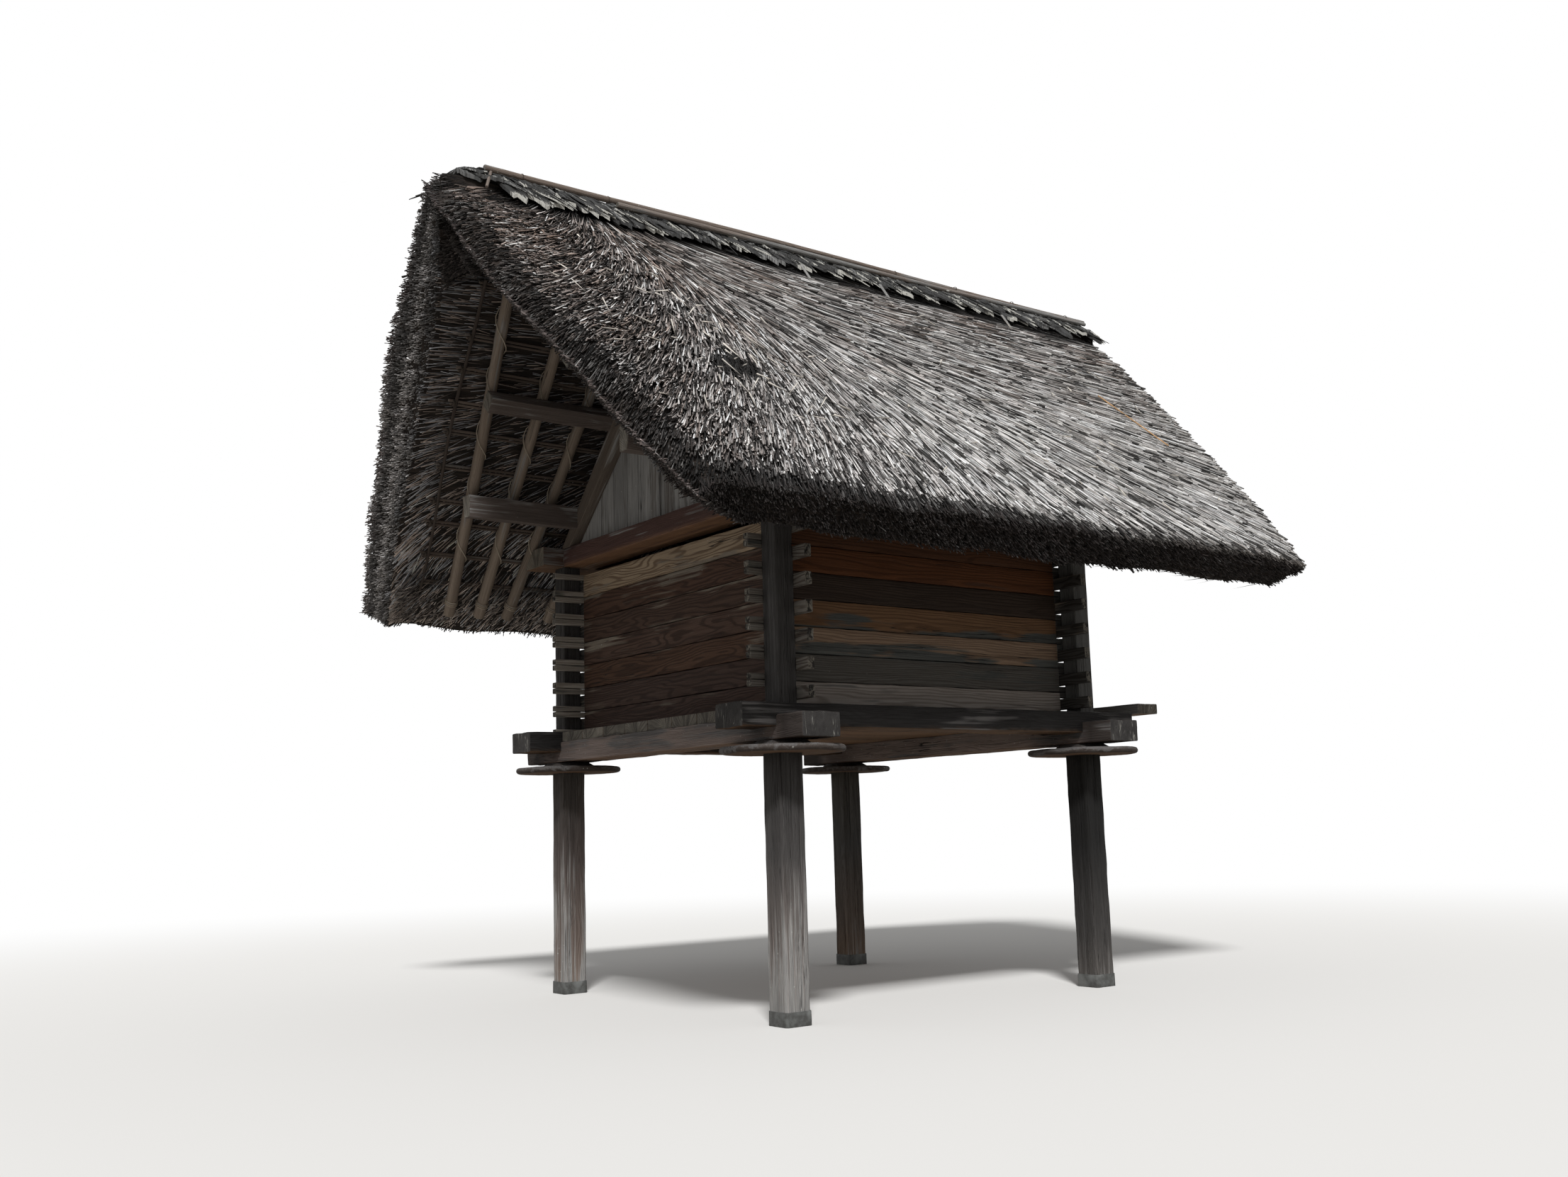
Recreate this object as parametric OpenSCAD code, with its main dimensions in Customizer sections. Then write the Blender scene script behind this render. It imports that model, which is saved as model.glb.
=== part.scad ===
// Raised granary: four posts with round rat guards carry a plank store
// room under a deep thatched gable roof.
//
// Frame: +X runs along the ridge, +Y across it, +Z up. The origin lies on
// the ground under the middle of the roof. Units are millimetres.
// The roof reaches a little further past one gable than past the other,
// so the timber frame stands roof_shift towards -X of the roof's middle.

/* [Plan] */
// Distance between post centres along the ridge
span_x = 3100; // [2600:10:3600]
// Distance between post centres across the ridge
span_y = 3140; // [2700:10:3600]
// How far the timber frame stands off the middle of the roof
roof_shift = 110; // [0:5:200]

/* [Posts and guards] */
// Side of the thick lower part of a post
post_w = 210; // [180:5:260]
// Side of the slender part that passes through guard and beams
shaft_w = 165; // [130:5:175]
// Height of the lower part, which is the underside of the guard
guard_z = 1860; // [1400:10:2200]
// Diameter of a rat guard
guard_d = 900; // [700:10:1100]
// Thickness of a rat guard at its rim
guard_t = 50; // [35:1:80]
// Height of the low hub between guard and beam
hub_h = 40; // [20:1:70]
// Height of the metal sleeve around a foot
band_h = 100; // [50:5:200]
// Thickness of that sleeve
band_t = 3; // [2:0.5:8]

/* [Floor] */
// Width of a floor beam
beam_w = 330; // [270:5:380]
// Height of a floor beam
beam_h = 170; // [130:2:220]
// How far a beam runs past the centre of its post
beam_over = 458; // [380:2:560]
// Number of floor boards
boards = 8; // [6:1:10]
// Width of the landing plank in front of the entrance gable
landing_w = 250; // [150:5:400]
// Length of the landing plank
landing_len = 3470; // [2400:10:4000]
// Gap between the ends of the long beams and the landing plank
landing_gap = 75; // [20:5:150]
// How far the floor boards end inside the outer faces of the cross beams
board_back = 14; // [0:1:60]

/* [Walls] */
// Height of one wall plank
plank_h = 202.5; // [170:0.5:230]
// Thickness of a wall plank
plank_t = 60; // [40:1:80]
// Number of planks in a wall
planks = 7; // [5:1:8]
// How much the lowest plank is trimmed
first_cut = 21; // [0:1:40]
// How far plank ends run past the outer face of the post, long walls
tail_x = 115; // [60:1:180]
// How far plank ends run past the outer face of the post, gable walls
tail_y = 135; // [60:1:180]
// Play between a tongue and the fork around it
notch_gap = 2; // [0.4:0.2:4]

/* [Wall plates and gables] */
// Open gap between the top plank and the plates
air_gap = 69; // [30:1:120]
// Height of the plates
plate_h = 165; // [120:1:200]
// How far the eave plate's top edge lies outside the post centre
plate_out = 121; // [90:1:200]
// Width of the bevel on which the poles lie
bevel_w = 135; // [80:1:140]
// How far the eave plates run past the post centre
plate_over = 281; // [200:1:400]
// Width of a gable plate
gable_plate_w = 312; // [280:2:360]
// Thickness of a gable rafter
rafter_t = 92; // [60:1:110]
// Upright height of a gable rafter at the top
rafter_h = 330; // [240:5:400]
// Thickness of a gable board
gable_board_t = 30; // [18:1:34]

/* [Roof timber] */
// Rise of the roof for each unit of run
rise = 1.05; // [0.85:0.01:1.2]
// Diameter of a pole rafter
pole_d = 100; // [70:1:120]
// How far the pole feet reach beyond the plate's top edge
pole_over = 575; // [450:5:640]
// How much shorter the poles of the front slope are cut
front_cut = 130; // [0:5:160]
// Diameter of a batten
batten_d = 24; // [14:1:34]
// Width of the upper purlin along the slope
purlin_w = 140; // [100:1:160]
// Depth of the upper purlin square to the slope
purlin_d = 130; // [100:1:150]
// Height of the lower purlin
low_purlin_h = 195; // [150:1:220]
// Width of the lower purlin
low_purlin_w = 140; // [110:1:160]
// Diameter of the ridge beam
ridge_d = 100; // [70:1:130]

/* [Thatch] */
// Thickness of the thatch square to the slope
thatch_t = 405; // [250:5:500]
// Half the length of the roof at the ridge
ridge_half = 3720; // [3300:10:4200]
// Half the length of the roof at the eaves
eave_half = 3085; // [2900:5:3250]
// How far the eaves reach beyond the plate's top edge
eave_over = 1110; // [950:5:1300]
// How far the lower lip of a gable edge lies inside its upper edge
lip_in = 335; // [200:5:360]
// The same on the front slope, where the edge is shorn more steeply
front_lip = 515; // [250:5:520]
// How far the thatch draws in at the ends of the ridge
crown_in = 60; // [30:5:260]
// How far the battens end inside the lower lip of the gable edge
batten_in = 200; // [120:5:260]
// Unevenness of the eaves and gable edges
shag = 22; // [0:1:35]
// How far the thatch swells and sinks between its tufts
lump = 16; // [0:1:28]
// How far inside a gable edge its rounding begins
verge_in = 270; // [100:5:300]
// How deep the rounding has sunk at the edge
verge_drop = 140; // [60:5:160]

/* [Ridge cover] */
// How far the bark reaches down each slope
bark_reach = 260; // [200:5:400]
// Thickness of the bark
bark_t = 60; // [40:1:80]
// Diameter of the pole along the top
top_pole_d = 54; // [36:1:70]

/* [Hidden] */
$fn = 48;

// Clearance between pieces that sit against each other
fit = 0.3;
// Small gap between neighbouring boards
seam = 0.4;

hx = span_x / 2;
hy = span_y / 2;
hub_z = guard_z + guard_t;
beam_z = hub_z + hub_h;
cross_z = beam_z + beam_h / 2;
floor_z = cross_z + beam_h;
board_t = beam_h / 2;

// Wall planes follow the inner faces of the post shafts
wall_x = hx - shaft_w / 2;
wall_y = hy - shaft_w / 2;
wall_top = floor_z + planks * plank_h - first_cut;
plate_z = wall_top + air_gap;
plate_top = plate_z + plate_h;

// Roof planes, each given by its height over the ridge line
k = sqrt(1 + rise * rise);
edge_y = hy + plate_out;
under_z = plate_top + rise * edge_y;
pole_z = under_z + pole_d / 2 * k;
batten_z = pole_z + (pole_d + batten_d) / 2 * k;
inner_z = batten_z + batten_d / 2 * k;
outer_z = inner_z + thatch_t * k;
foot_y = edge_y + pole_over;
bend_y = edge_y + 0.46 * eave_over;
eave_y = edge_y + eave_over;
ridge_beam_z = pole_z + (pole_d + ridge_d) / 2 * k + fit;

// Gable rafter: outer and inner edge, the inner one less steep
rafter_top = under_z - 1.315 * purlin_d;
rafter_in = 0.882 * rise;
upper_y = 0.398 * edge_y;
lower_y = 0.811 * edge_y;

// Pole rafters of one half, counted from the middle: the feet as parts of
// the roof's half length there, the heads as parts of head_reach
pole_foot = [0, 0.153, 0.306, 0.456, 0.585, 0.669, 0.756];
pole_head = [0, 0.168, 0.335, 0.5, 0.647, 0.814, 0.997];
// Battens from ridge to eave, as parts of foot_y
batten_at = [0.074, 0.211, 0.3, 0.392, 0.473, 0.574, 0.676, 0.743, 0.84, 0.927];
// Seams between the gable boards, as parts of half the post spacing
gable_seams = [-0.95, -0.75, -0.6, -0.45, -0.306, -0.171, -0.033,
    0.015, 0.228, 0.339, 0.482, 0.619, 0.758, 0.95];

// Half length of the roof at distance y from the ridge
function half_at(y) =
    ridge_half - (ridge_half - eave_half) * (0.3 * y / eave_y + 0.7 * pow(y / eave_y, 2));
// Half length of the battens at distance y
function batten_half(y) = half_at(y) - lip_in - batten_in + 0.03 * y;
// How far the verge canes lie inside the ends of the battens
cane_in = 1.7 * batten_d;
// How far the poles of the front slope stand beside those of the back one
pole_shift = pole_d + 5;
// How far from the middle the outermost pole head may lie, clear of the canes
head_reach = batten_half(0) - cane_in - (batten_d + pole_d) / 2 - pole_shift;
// A repeatable uneven value between -1 and 1
function uneven(a, b) = (sin(a * 37 + b * 59) + sin(a * 71 - b * 113 + 40)) / 2;

// Shared shapes

// Bar along X with four chamfered long edges; bottom at z = 0
module bar(len, w, h, c) {
    rotate([90, 0, 90])
        translate([0, 0, -len / 2])
            linear_extrude(len)
                polygon([[-w / 2 + c, 0], [w / 2 - c, 0], [w / 2, c], [w / 2, h - c],
                    [w / 2 - c, h], [-w / 2 + c, h], [-w / 2, h - c], [-w / 2, c]]);
}

// Block between two corners
module block(a, b) {
    translate(a)
        cube(b - a);
}

// Square with chamfered corners
module post_section(w, c) {
    polygon([[-w / 2 + c, -w / 2], [w / 2 - c, -w / 2], [w / 2, -w / 2 + c],
        [w / 2, w / 2 - c], [w / 2 - c, w / 2], [-w / 2 + c, w / 2],
        [-w / 2, w / 2 - c], [-w / 2, -w / 2 + c]]);
}

// Shapes drawn across the ridge, given depth t along X from x = 0
module across(t) {
    rotate([90, 0, 90])
        linear_extrude(t)
            children();
}

// Places children in the timber frame
module frame() {
    translate([-roof_shift, 0, 0])
        children();
}

// Same shape on the other side of the ridge
module back() {
    mirror([0, 1, 0])
        children();
}

// Same shape at the other gable
module right() {
    mirror([1, 0, 0])
        children();
}

// Round stick between two points
module stick(a, b, d1, d2) {
    v = b - a;
    l = norm(v);
    translate(a)
        rotate([0, acos(v[2] / l), atan2(v[1], v[0])])
            cylinder(h = l, d1 = d1, d2 = d2);
}

// Posts and guards

// Post: thick below the guard, slender above, so that it forms a shoulder
module post() {
    linear_extrude(guard_z)
        post_section(post_w, 10);
    translate([0, 0, guard_z - 1])
        linear_extrude(plate_z - guard_z + 1 - fit)
            post_section(shaft_w, 5);
}

// Sleeve around the foot of a post
module band() {
    linear_extrude(band_h)
        difference() {
            post_section(post_w + 2 * band_t + fit, 10);
            post_section(post_w + fit, 10);
        }
}

// Rat guard: a turned disc with a rounded rim and a low hub
module guard() {
    r = guard_d / 2;
    e = guard_t / 2;
    difference() {
        translate([0, 0, guard_z + fit])
            rotate_extrude($fn = 96)
                union() {
                    square([r - e, guard_t - fit]);
                    translate([r - e, e])
                        circle(d = guard_t - 2 * fit);
                    polygon([[0, guard_t - 2], [0.54 * r, guard_t - 2], [0.54 * r, guard_t],
                        [0.39 * r, guard_t + hub_h - 2 * fit], [0, guard_t + hub_h - 2 * fit]]);
                }
        translate([0, 0, guard_z - 1])
            linear_extrude(guard_t + hub_h + 4)
                square(shaft_w + 2 * fit, center = true);
    }
}

// Floor

// Square hole through which the post shaft passes
module shaft_hole(z, h) {
    translate([0, 0, z - 1])
        linear_extrude(h + 2)
            square(shaft_w + 2 * fit, center = true);
}

// Beam across the ridge, lower of the two, halved on top under the other
module cross_beam() {
    difference() {
        translate([0, 0, beam_z])
            rotate([0, 0, 90])
                bar(2 * (hy + beam_over), beam_w, beam_h, 8);
        for (s = [-1, 1])
            translate([0, s * hy, 0]) {
                shaft_hole(beam_z, beam_h);
                block([-beam_w, -beam_w / 2 - fit, beam_z + 0.75 * beam_h],
                    [beam_w, beam_w / 2 + fit, beam_z + beam_h + 1]);
            }
    }
}

// Beam along the ridge, upper of the two, halved below
module long_beam() {
    difference() {
        translate([0, 0, cross_z])
            bar(2 * (hx + beam_over), beam_w, beam_h, 8);
        for (s = [-1, 1])
            translate([s * hx, 0, 0]) {
                shaft_hole(cross_z, beam_h);
                block([-beam_w / 2 - fit, -beam_w, cross_z - 1],
                    [beam_w / 2 + fit, beam_w, cross_z + 0.25 * beam_h + fit]);
            }
    }
}

// Floor boards on the cross beams; two run on as bearers of the landing
module floor_set() {
    room = 2 * (hy - beam_w / 2 - fit);
    w = room / boards;
    bearer = floor(boards / 4);
    for (i = [0 : boards - 1]) {
        long = i == bearer || i == boards - 1 - bearer;
        x0 = -hx - beam_w / 2 + board_back;
        x1 = long ? hx + beam_over + landing_gap + landing_w : hx + beam_w / 2 - board_back;
        translate([(x0 + x1) / 2, -room / 2 + (i + 0.5) * w, cross_z + beam_h / 2 + fit])
            bar(x1 - x0, w - seam, board_t - fit, 3);
    }
}

// Plank laid across the bearers beside the entrance gable
module landing() {
    translate([hx + beam_over + landing_gap + landing_w / 2, 0, floor_z + fit])
        rotate([0, 0, 90])
            bar(landing_len, landing_w, board_t, 6);
}

// Walls

// Plank of a long wall: both ends are forked around the gable planks
module forked_plank(z0, z1, low) {
    full = wall_x - plank_t - fit;
    end = hx + shaft_w / 2 + tail_x;
    q = plank_h / 4;
    difference() {
        translate([0, 0, z0])
            bar(2 * end, plank_t, z1 - z0 - seam, 3);
        for (s = [-1, 1])
            block([s < 0 ? -end - 1 : full, -plank_t, low + q],
                [s < 0 ? -full : end + 1, plank_t, low + 3 * q]);
    }
}

// Plank of a gable wall: both ends are cut to a tongue for the forks
module tongued_plank(z0, z1, low) {
    full = wall_y - plank_t - fit;
    end = hy + shaft_w / 2 + tail_y;
    q = plank_h / 4;
    rotate([0, 0, 90])
        difference() {
            translate([0, 0, z0])
                bar(2 * end, plank_t, z1 - z0 - seam, 3);
            for (s = [-1, 1]) {
                block([s < 0 ? -end - 1 : full, -plank_t, low - 5],
                    [s < 0 ? -full : end + 1, plank_t, low + q + notch_gap]);
                block([s < 0 ? -end - 1 : full, -plank_t, low + 3 * q - notch_gap],
                    [s < 0 ? -full : end + 1, plank_t, low + 4 * q + 5]);
            }
        }
}

// Planks stacked from the floor up
module long_wall() {
    for (i = [0 : planks - 1]) {
        low = floor_z - first_cut + i * plank_h;
        translate([0, -wall_y + plank_t / 2 + fit, 0])
            forked_plank(max(low, floor_z) + fit, low + plank_h, low);
    }
}

module gable_wall() {
    for (i = [0 : planks - 1]) {
        low = floor_z - first_cut + i * plank_h;
        translate([-wall_x + plank_t / 2 + fit, 0, 0])
            tongued_plank(max(low, floor_z) + fit, low + plank_h, low);
    }
}

// Plates and gables

// Eave plate: bevelled to the roof slope, halved over the gable plates
module eave_plate() {
    inner = hy - shaft_w / 2;
    difference() {
        translate([-hx - plate_over, 0, 0])
            across(2 * (hx + plate_over))
                polygon([[-inner, plate_z], [-inner, plate_top], [-edge_y, plate_top],
                    [-edge_y - bevel_w, plate_top - rise * bevel_w],
                    [-edge_y - bevel_w, plate_z]]);
        for (s = [-1, 1])
            translate([s * hx, -hy, 0])
                block([shaft_w / 2 - gable_plate_w - fit, -shaft_w / 2 - fit, plate_z - 1],
                    [shaft_w / 2 + 2 * fit, shaft_w / 2 + 1, plate_z + plate_h / 2 + fit]);
    }
}

// Gable plate between the eave plates, its halved ends on the posts
module gable_plate() {
    inner = hy - shaft_w / 2 - fit;
    rotate([90, 0, 90])
        translate([0, 0, -hx - shaft_w / 2])
            linear_extrude(gable_plate_w)
                polygon([[-inner - shaft_w, plate_z], [inner + shaft_w, plate_z],
                    [inner + shaft_w, plate_z + plate_h / 2], [inner, plate_z + plate_h / 2],
                    [inner, plate_top], [-inner, plate_top],
                    [-inner, plate_z + plate_h / 2], [-inner - shaft_w, plate_z + plate_h / 2]]);
}

// Sections of the purlins, drawn across the ridge on the front side
module upper_section(gap) {
    top = under_z - rise * upper_y - fit;
    translate([-upper_y, top])
        rotate(atan(rise))
            translate([-purlin_w - gap, -purlin_d - gap])
                square([purlin_w + 2 * gap, purlin_d + gap]);
}

module lower_section(gap) {
    top = under_z - rise * lower_y - fit;
    low = top - low_purlin_h - gap;
    inner = low_purlin_w - lower_y + gap;
    polygon([[-lower_y - gap, top + gap], [inner, top - 0.06 * low_purlin_w + gap],
        [inner, low], [0.3 * low_purlin_w - lower_y - gap, low]]);
}

// Pair of gable rafters, notched on their backs for the purlins
module gable_rafters() {
    foot = (rafter_top - plate_top) / rise;
    foot_in = (rafter_top - rafter_h - plate_top) / rafter_in;
    for (s = [0, 1])
        mirror([0, s, 0])
            translate([-hx - shaft_w / 2, 0, 0])
                across(rafter_t)
                    difference() {
                        polygon([[-foot, plate_top + fit], [-seam / 2, rafter_top],
                            [-seam / 2, rafter_top - rafter_h], [-foot_in, plate_top + fit]]);
                        upper_section(fit);
                        lower_section(fit);
                    }
}

// Upright boards that close the gable behind its rafters
module gable_boards() {
    foot_in = (rafter_top - rafter_h - plate_top) / rafter_in;
    for (i = [0 : len(gable_seams) - 2]) {
        y0 = gable_seams[i] * hy + seam;
        y1 = gable_seams[i + 1] * hy - seam;
        thin = y1 - y0 < 0.08 * hy;
        x0 = -hx - shaft_w / 2 + rafter_t + fit;
        translate([x0 + (thin ? gable_board_t / 2 : 0), 0, 0])
            across(thin ? gable_board_t / 2 : gable_board_t)
                difference() {
                    intersection() {
                        polygon([[-foot_in - 20, plate_top + fit],
                            [0, rafter_top - rafter_h + 30],
                            [foot_in + 20, plate_top + fit]]);
                        translate([y0, plate_top])
                            square([y1 - y0, rafter_top]);
                    }
                    upper_section(fit);
                    lower_section(fit);
                    mirror([1, 0]) {
                        upper_section(fit);
                        lower_section(fit);
                    }
                }
    }
}

// Roof timber

module lower_purlin() {
    translate([-0.742 * ridge_half, 0, 0])
        across(1.484 * ridge_half)
            lower_section(0);
}

module upper_purlin() {
    translate([-0.77 * ridge_half, 0, 0])
        across(1.54 * ridge_half)
            upper_section(0);
}

// Round beam lying in the crotch above the crossed pole heads
module ridge_log() {
    translate([-0.924 * ridge_half, 0, ridge_beam_z])
        rotate([0, 90, 0])
            cylinder(h = 1.848 * ridge_half, d = ridge_d);
}

// Poles of one slope; the outermost ones lean out towards the gables.
// side is -1 for the front slope, 1 for the back one.
module pole_set(side) {
    past = pole_d * 0.82;
    shift = side < 0 ? pole_shift : 0;
    for (i = [1 - len(pole_foot) : len(pole_foot) - 1]) {
        sx = sign(i);
        xf = sx * pole_foot[abs(i)] * half_at(foot_y) + shift;
        xh = sx * pole_head[abs(i)] * head_reach + shift;
        lean = (xh - xf) / foot_y;
        cut = side < 0 ? front_cut : 0;
        stick([xf + lean * cut, side * (foot_y - cut), pole_z - rise * (foot_y - cut)],
            [xh + lean * past, -side * past, pole_z + rise * past], pole_d, pole_d);
    }
}

// Battens across the poles
module batten_set(side) {
    for (a = batten_at) {
        y = a * foot_y;
        translate([-batten_half(y), side * y, batten_z - rise * y])
            rotate([0, 90, 0])
                cylinder(h = 2 * batten_half(y), d = batten_d);
    }
}

// Cane along each gable edge, tied under the ends of the battens
module canes() {
    y0 = 0.055 * foot_y;
    y1 = 0.95 * foot_y;
    z = batten_z - batten_d * k - fit;
    for (sx = [-1, 1])
        for (side = [-1, 1])
            stick([sx * (batten_half(y0) - cane_in), side * y0, z - rise * y0],
                [sx * (batten_half(y1) - cane_in), side * y1, z - rise * y1],
                batten_d, 0.8 * batten_d);
}

// Thatch

// Outer surface of one slope, ridge to eave, as [y, z]; its crown is blunt
thatch_steps = 12;
crown = 0.03 * thatch_t;
outer_line = [for (v = [0 : thatch_steps])
    let (y = eave_y * v / thatch_steps)
    [y, outer_z - rise * y - (v == 0 ? crown : 0)]];

// Inner surface: a channel for the ridge beam and pole heads, then the
// plane that lies on the battens, then the flatter part under the eave
void_z = ridge_beam_z + ridge_d / 2 + fit;
clear_y = 1.6 * pole_d;
land_y = 2.2 * pole_d;
inner_line = concat(
    [[0, void_z], [0.6 * ridge_d, void_z],
        [clear_y, max(void_z - 1.35 * pole_d, inner_z - rise * clear_y)]],
    [for (v = [0 : thatch_steps - 4])
        let (y = land_y + (bend_y - land_y) * v / (thatch_steps - 4))
        [y, inner_z - rise * y + fit]],
    [[eave_y - 0.445 * thatch_t, outer_z - rise * eave_y - 0.506 * thatch_t]]);

// Rings of points on half the roof: evenly spaced ones up to the rounding of
// the gable edge, then those round its quarter ellipse
long_rings = 13;
turn_rings = 3;
half_rings = long_rings + turn_rings;

// How far the lip lies inside the edge at distance y; under the ridge it
// comes forward, so that it leaves a hollow before the pole heads
function lip_at(y, size, fall) =
    size * (1 - fall * y / eave_y) * min(1, 0.4 + 2 * y / edge_y);

// One point of the thatch on ring c, counted from the middle, and row v.
// side is -1 for the front slope, 1 for the back one.
function thatch_point(side, c, v, upper) =
    let (p = upper ? outer_line[v] : inner_line[v],
        turn = 90 * max(0, abs(c) - long_rings) / turn_rings,
        eave = v == thatch_steps ? shag : 0,
        end = turn > 0 && v > 0 ? shag : 0,
        draw = crown_in * pow(max(0, 1 - p[0] / (2 * crown_in)), 2),
        under = side < 0 ? lip_at(p[0], front_lip, 0.15) : lip_at(p[0], lip_in, 0.3),
        lip = upper ? draw : under,
        half = half_at(p[0]) - lip + end * uneven(v + 3 * sign(c), 7),
        drop = upper ? verge_drop * (1 - cos(turn)) : 0,
        swell = upper && v > 1 && v < thatch_steps ? lump * uneven(c * 3, v) : 0)
    [sign(c) * (min(1, abs(c) / long_rings) * (half - verge_in) + verge_in * sin(turn)),
        p[0] + eave * uneven(c, upper ? 1 : 2) - (v > 0 ? drop * rise / k : 0),
        p[1] + eave * uneven(c, upper ? 3 : 4) - (v > 0 ? drop / k : drop * k) + swell];

// One slope as a closed surface of strips between ridge and eave
module thatch_slope(side) {
    n = 2 * half_rings;
    m = thatch_steps + 1;
    ring = 2 * m;
    points = [for (c = [-half_rings : half_rings]) for (j = [0 : ring - 1])
        thatch_point(side, c, j < m ? j : ring - 1 - j, j < m)];
    skin = [for (u = [0 : n - 1]) for (j = [0 : ring - 1])
        let (a = u * ring + j, b = u * ring + (j + 1) % ring)
        each [[a, b, b + ring], [a, b + ring, a + ring]]];
    ends = [for (v = [0 : thatch_steps - 1])
        let (a = v, b = v + 1, c = ring - 2 - v, d = ring - 1 - v, e = n * ring)
        each [[a, c, b], [a, d, c], [e + a, e + b, e + c], [e + a, e + c, e + d]]];
    translate([0, seam / 2, 0])
        polyhedron(points, concat(skin, ends), convexity = 6);
}

// Ridge cover

// Bark laid over the ridge in overlapping lengths of uneven reach
bark_z = outer_z - crown + fit;
bark_flat = 0.6 * bark_t;
bark_lift = 0.17 * bark_t;

module bark() {
    count = 9;
    len = 1.903 * ridge_half / count;
    x0 = -0.924 * ridge_half;
    for (i = [0 : count - 1]) {
        r1 = bark_reach * (1 + 0.12 * uneven(i, 5));
        r2 = bark_reach * (1 + 0.12 * uneven(i, 9));
        lift = bark_lift * (i % 2);
        overlap = i < count - 1 ? bark_t : 0;
        translate([x0 + i * len, 0, bark_z])
            across(len + overlap)
                polygon([[-r1, bark_flat - rise * r1 + lift], [-bark_flat, 0], [bark_flat, 0],
                    [r2, bark_flat - rise * r2 + lift],
                    [r2 + 0.4 * bark_t, bark_t - rise * r2 + lift],
                    [bark_flat, bark_t + lift], [-bark_flat, bark_t + lift],
                    [-r1 - 0.4 * bark_t, bark_t - rise * r1 + lift]]);
    }
}

// Two poles that hold the bark down, one along the top, one beside it
module pole_cover() {
    top = bark_z + bark_t + bark_lift + fit;
    z1 = top + top_pole_d / 2;
    stick([-0.865 * ridge_half, 0, z1], [0.965 * ridge_half, 0, z1], top_pole_d, top_pole_d);
    d2 = 0.86 * top_pole_d;
    y2 = bark_flat + 0.8 * top_pole_d;
    z2 = top - 1.02 * rise * (y2 - bark_flat) + d2 / 2 * k;
    stick([-0.562 * ridge_half, -y2, z2], [0.947 * ridge_half, -y2, z2], d2, d2);
}

// One module for each node

module post_front_left() {
    color([0.36, 0.35, 0.33])
        frame()
            translate([-hx, -hy, 0])
                post();
}

module post_front_right() {
    color([0.36, 0.35, 0.33])
        frame()
            translate([hx, -hy, 0])
                post();
}

module post_back_left() {
    color([0.36, 0.35, 0.33])
        frame()
            translate([-hx, hy, 0])
                post();
}

module post_back_right() {
    color([0.36, 0.35, 0.33])
        frame()
            translate([hx, hy, 0])
                post();
}

module foot_bands() {
    color([0.4, 0.45, 0.42])
        frame()
            for (x = [-hx, hx])
                for (y = [-hy, hy])
                    translate([x, y, 0])
                        band();
}

module rat_guard_front_left() {
    color([0.42, 0.36, 0.32])
        frame()
            translate([-hx, -hy, 0])
                guard();
}

module rat_guard_front_right() {
    color([0.42, 0.36, 0.32])
        frame()
            translate([hx, -hy, 0])
                guard();
}

module rat_guard_back_left() {
    color([0.42, 0.36, 0.32])
        frame()
            translate([-hx, hy, 0])
                guard();
}

module rat_guard_back_right() {
    color([0.42, 0.36, 0.32])
        frame()
            translate([hx, hy, 0])
                guard();
}

module floor_beam_left() {
    color([0.34, 0.3, 0.27])
        frame()
            translate([-hx, 0, 0])
                cross_beam();
}

module floor_beam_right() {
    color([0.34, 0.3, 0.27])
        frame()
            translate([hx, 0, 0])
                cross_beam();
}

module floor_beam_front() {
    color([0.36, 0.32, 0.28])
        frame()
            translate([0, -hy, 0])
                long_beam();
}

module floor_beam_back() {
    color([0.36, 0.32, 0.28])
        frame()
            translate([0, hy, 0])
                long_beam();
}

module floor_boards() {
    color([0.45, 0.36, 0.27])
        frame()
            floor_set();
}

module landing_plank() {
    color([0.5, 0.46, 0.4])
        frame()
            landing();
}

module front_wall() {
    color([0.5, 0.38, 0.26])
        frame()
            long_wall();
}

module back_wall() {
    color([0.5, 0.38, 0.26])
        frame()
            back()
                long_wall();
}

module left_gable_wall() {
    color([0.46, 0.36, 0.27])
        frame()
            gable_wall();
}

module right_gable_wall() {
    color([0.46, 0.36, 0.27])
        frame()
            right()
                gable_wall();
}

module eave_plate_front() {
    color([0.4, 0.33, 0.27])
        frame()
            eave_plate();
}

module eave_plate_back() {
    color([0.4, 0.33, 0.27])
        frame()
            back()
                eave_plate();
}

module gable_plate_left() {
    color([0.38, 0.29, 0.23])
        frame()
            gable_plate();
}

module gable_plate_right() {
    color([0.38, 0.29, 0.23])
        frame()
            right()
                gable_plate();
}

module gable_rafters_left() {
    color([0.46, 0.4, 0.34])
        frame()
            gable_rafters();
}

module gable_rafters_right() {
    color([0.46, 0.4, 0.34])
        frame()
            right()
                gable_rafters();
}

module gable_boards_left() {
    color([0.55, 0.53, 0.5])
        frame()
            gable_boards();
}

module gable_boards_right() {
    color([0.55, 0.53, 0.5])
        frame()
            right()
                gable_boards();
}

module lower_purlin_front() {
    color([0.42, 0.36, 0.3])
        lower_purlin();
}

module lower_purlin_back() {
    color([0.42, 0.36, 0.3])
        back()
            lower_purlin();
}

module upper_purlin_front() {
    color([0.42, 0.36, 0.3])
        upper_purlin();
}

module upper_purlin_back() {
    color([0.42, 0.36, 0.3])
        back()
            upper_purlin();
}

module ridge_beam() {
    color([0.6, 0.54, 0.44])
        ridge_log();
}

module pole_rafters_front() {
    color([0.55, 0.48, 0.4])
        pole_set(-1);
}

module pole_rafters_back() {
    color([0.55, 0.48, 0.4])
        pole_set(1);
}

module battens_front() {
    color([0.36, 0.32, 0.28])
        batten_set(-1);
}

module battens_back() {
    color([0.36, 0.32, 0.28])
        batten_set(1);
}

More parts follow.
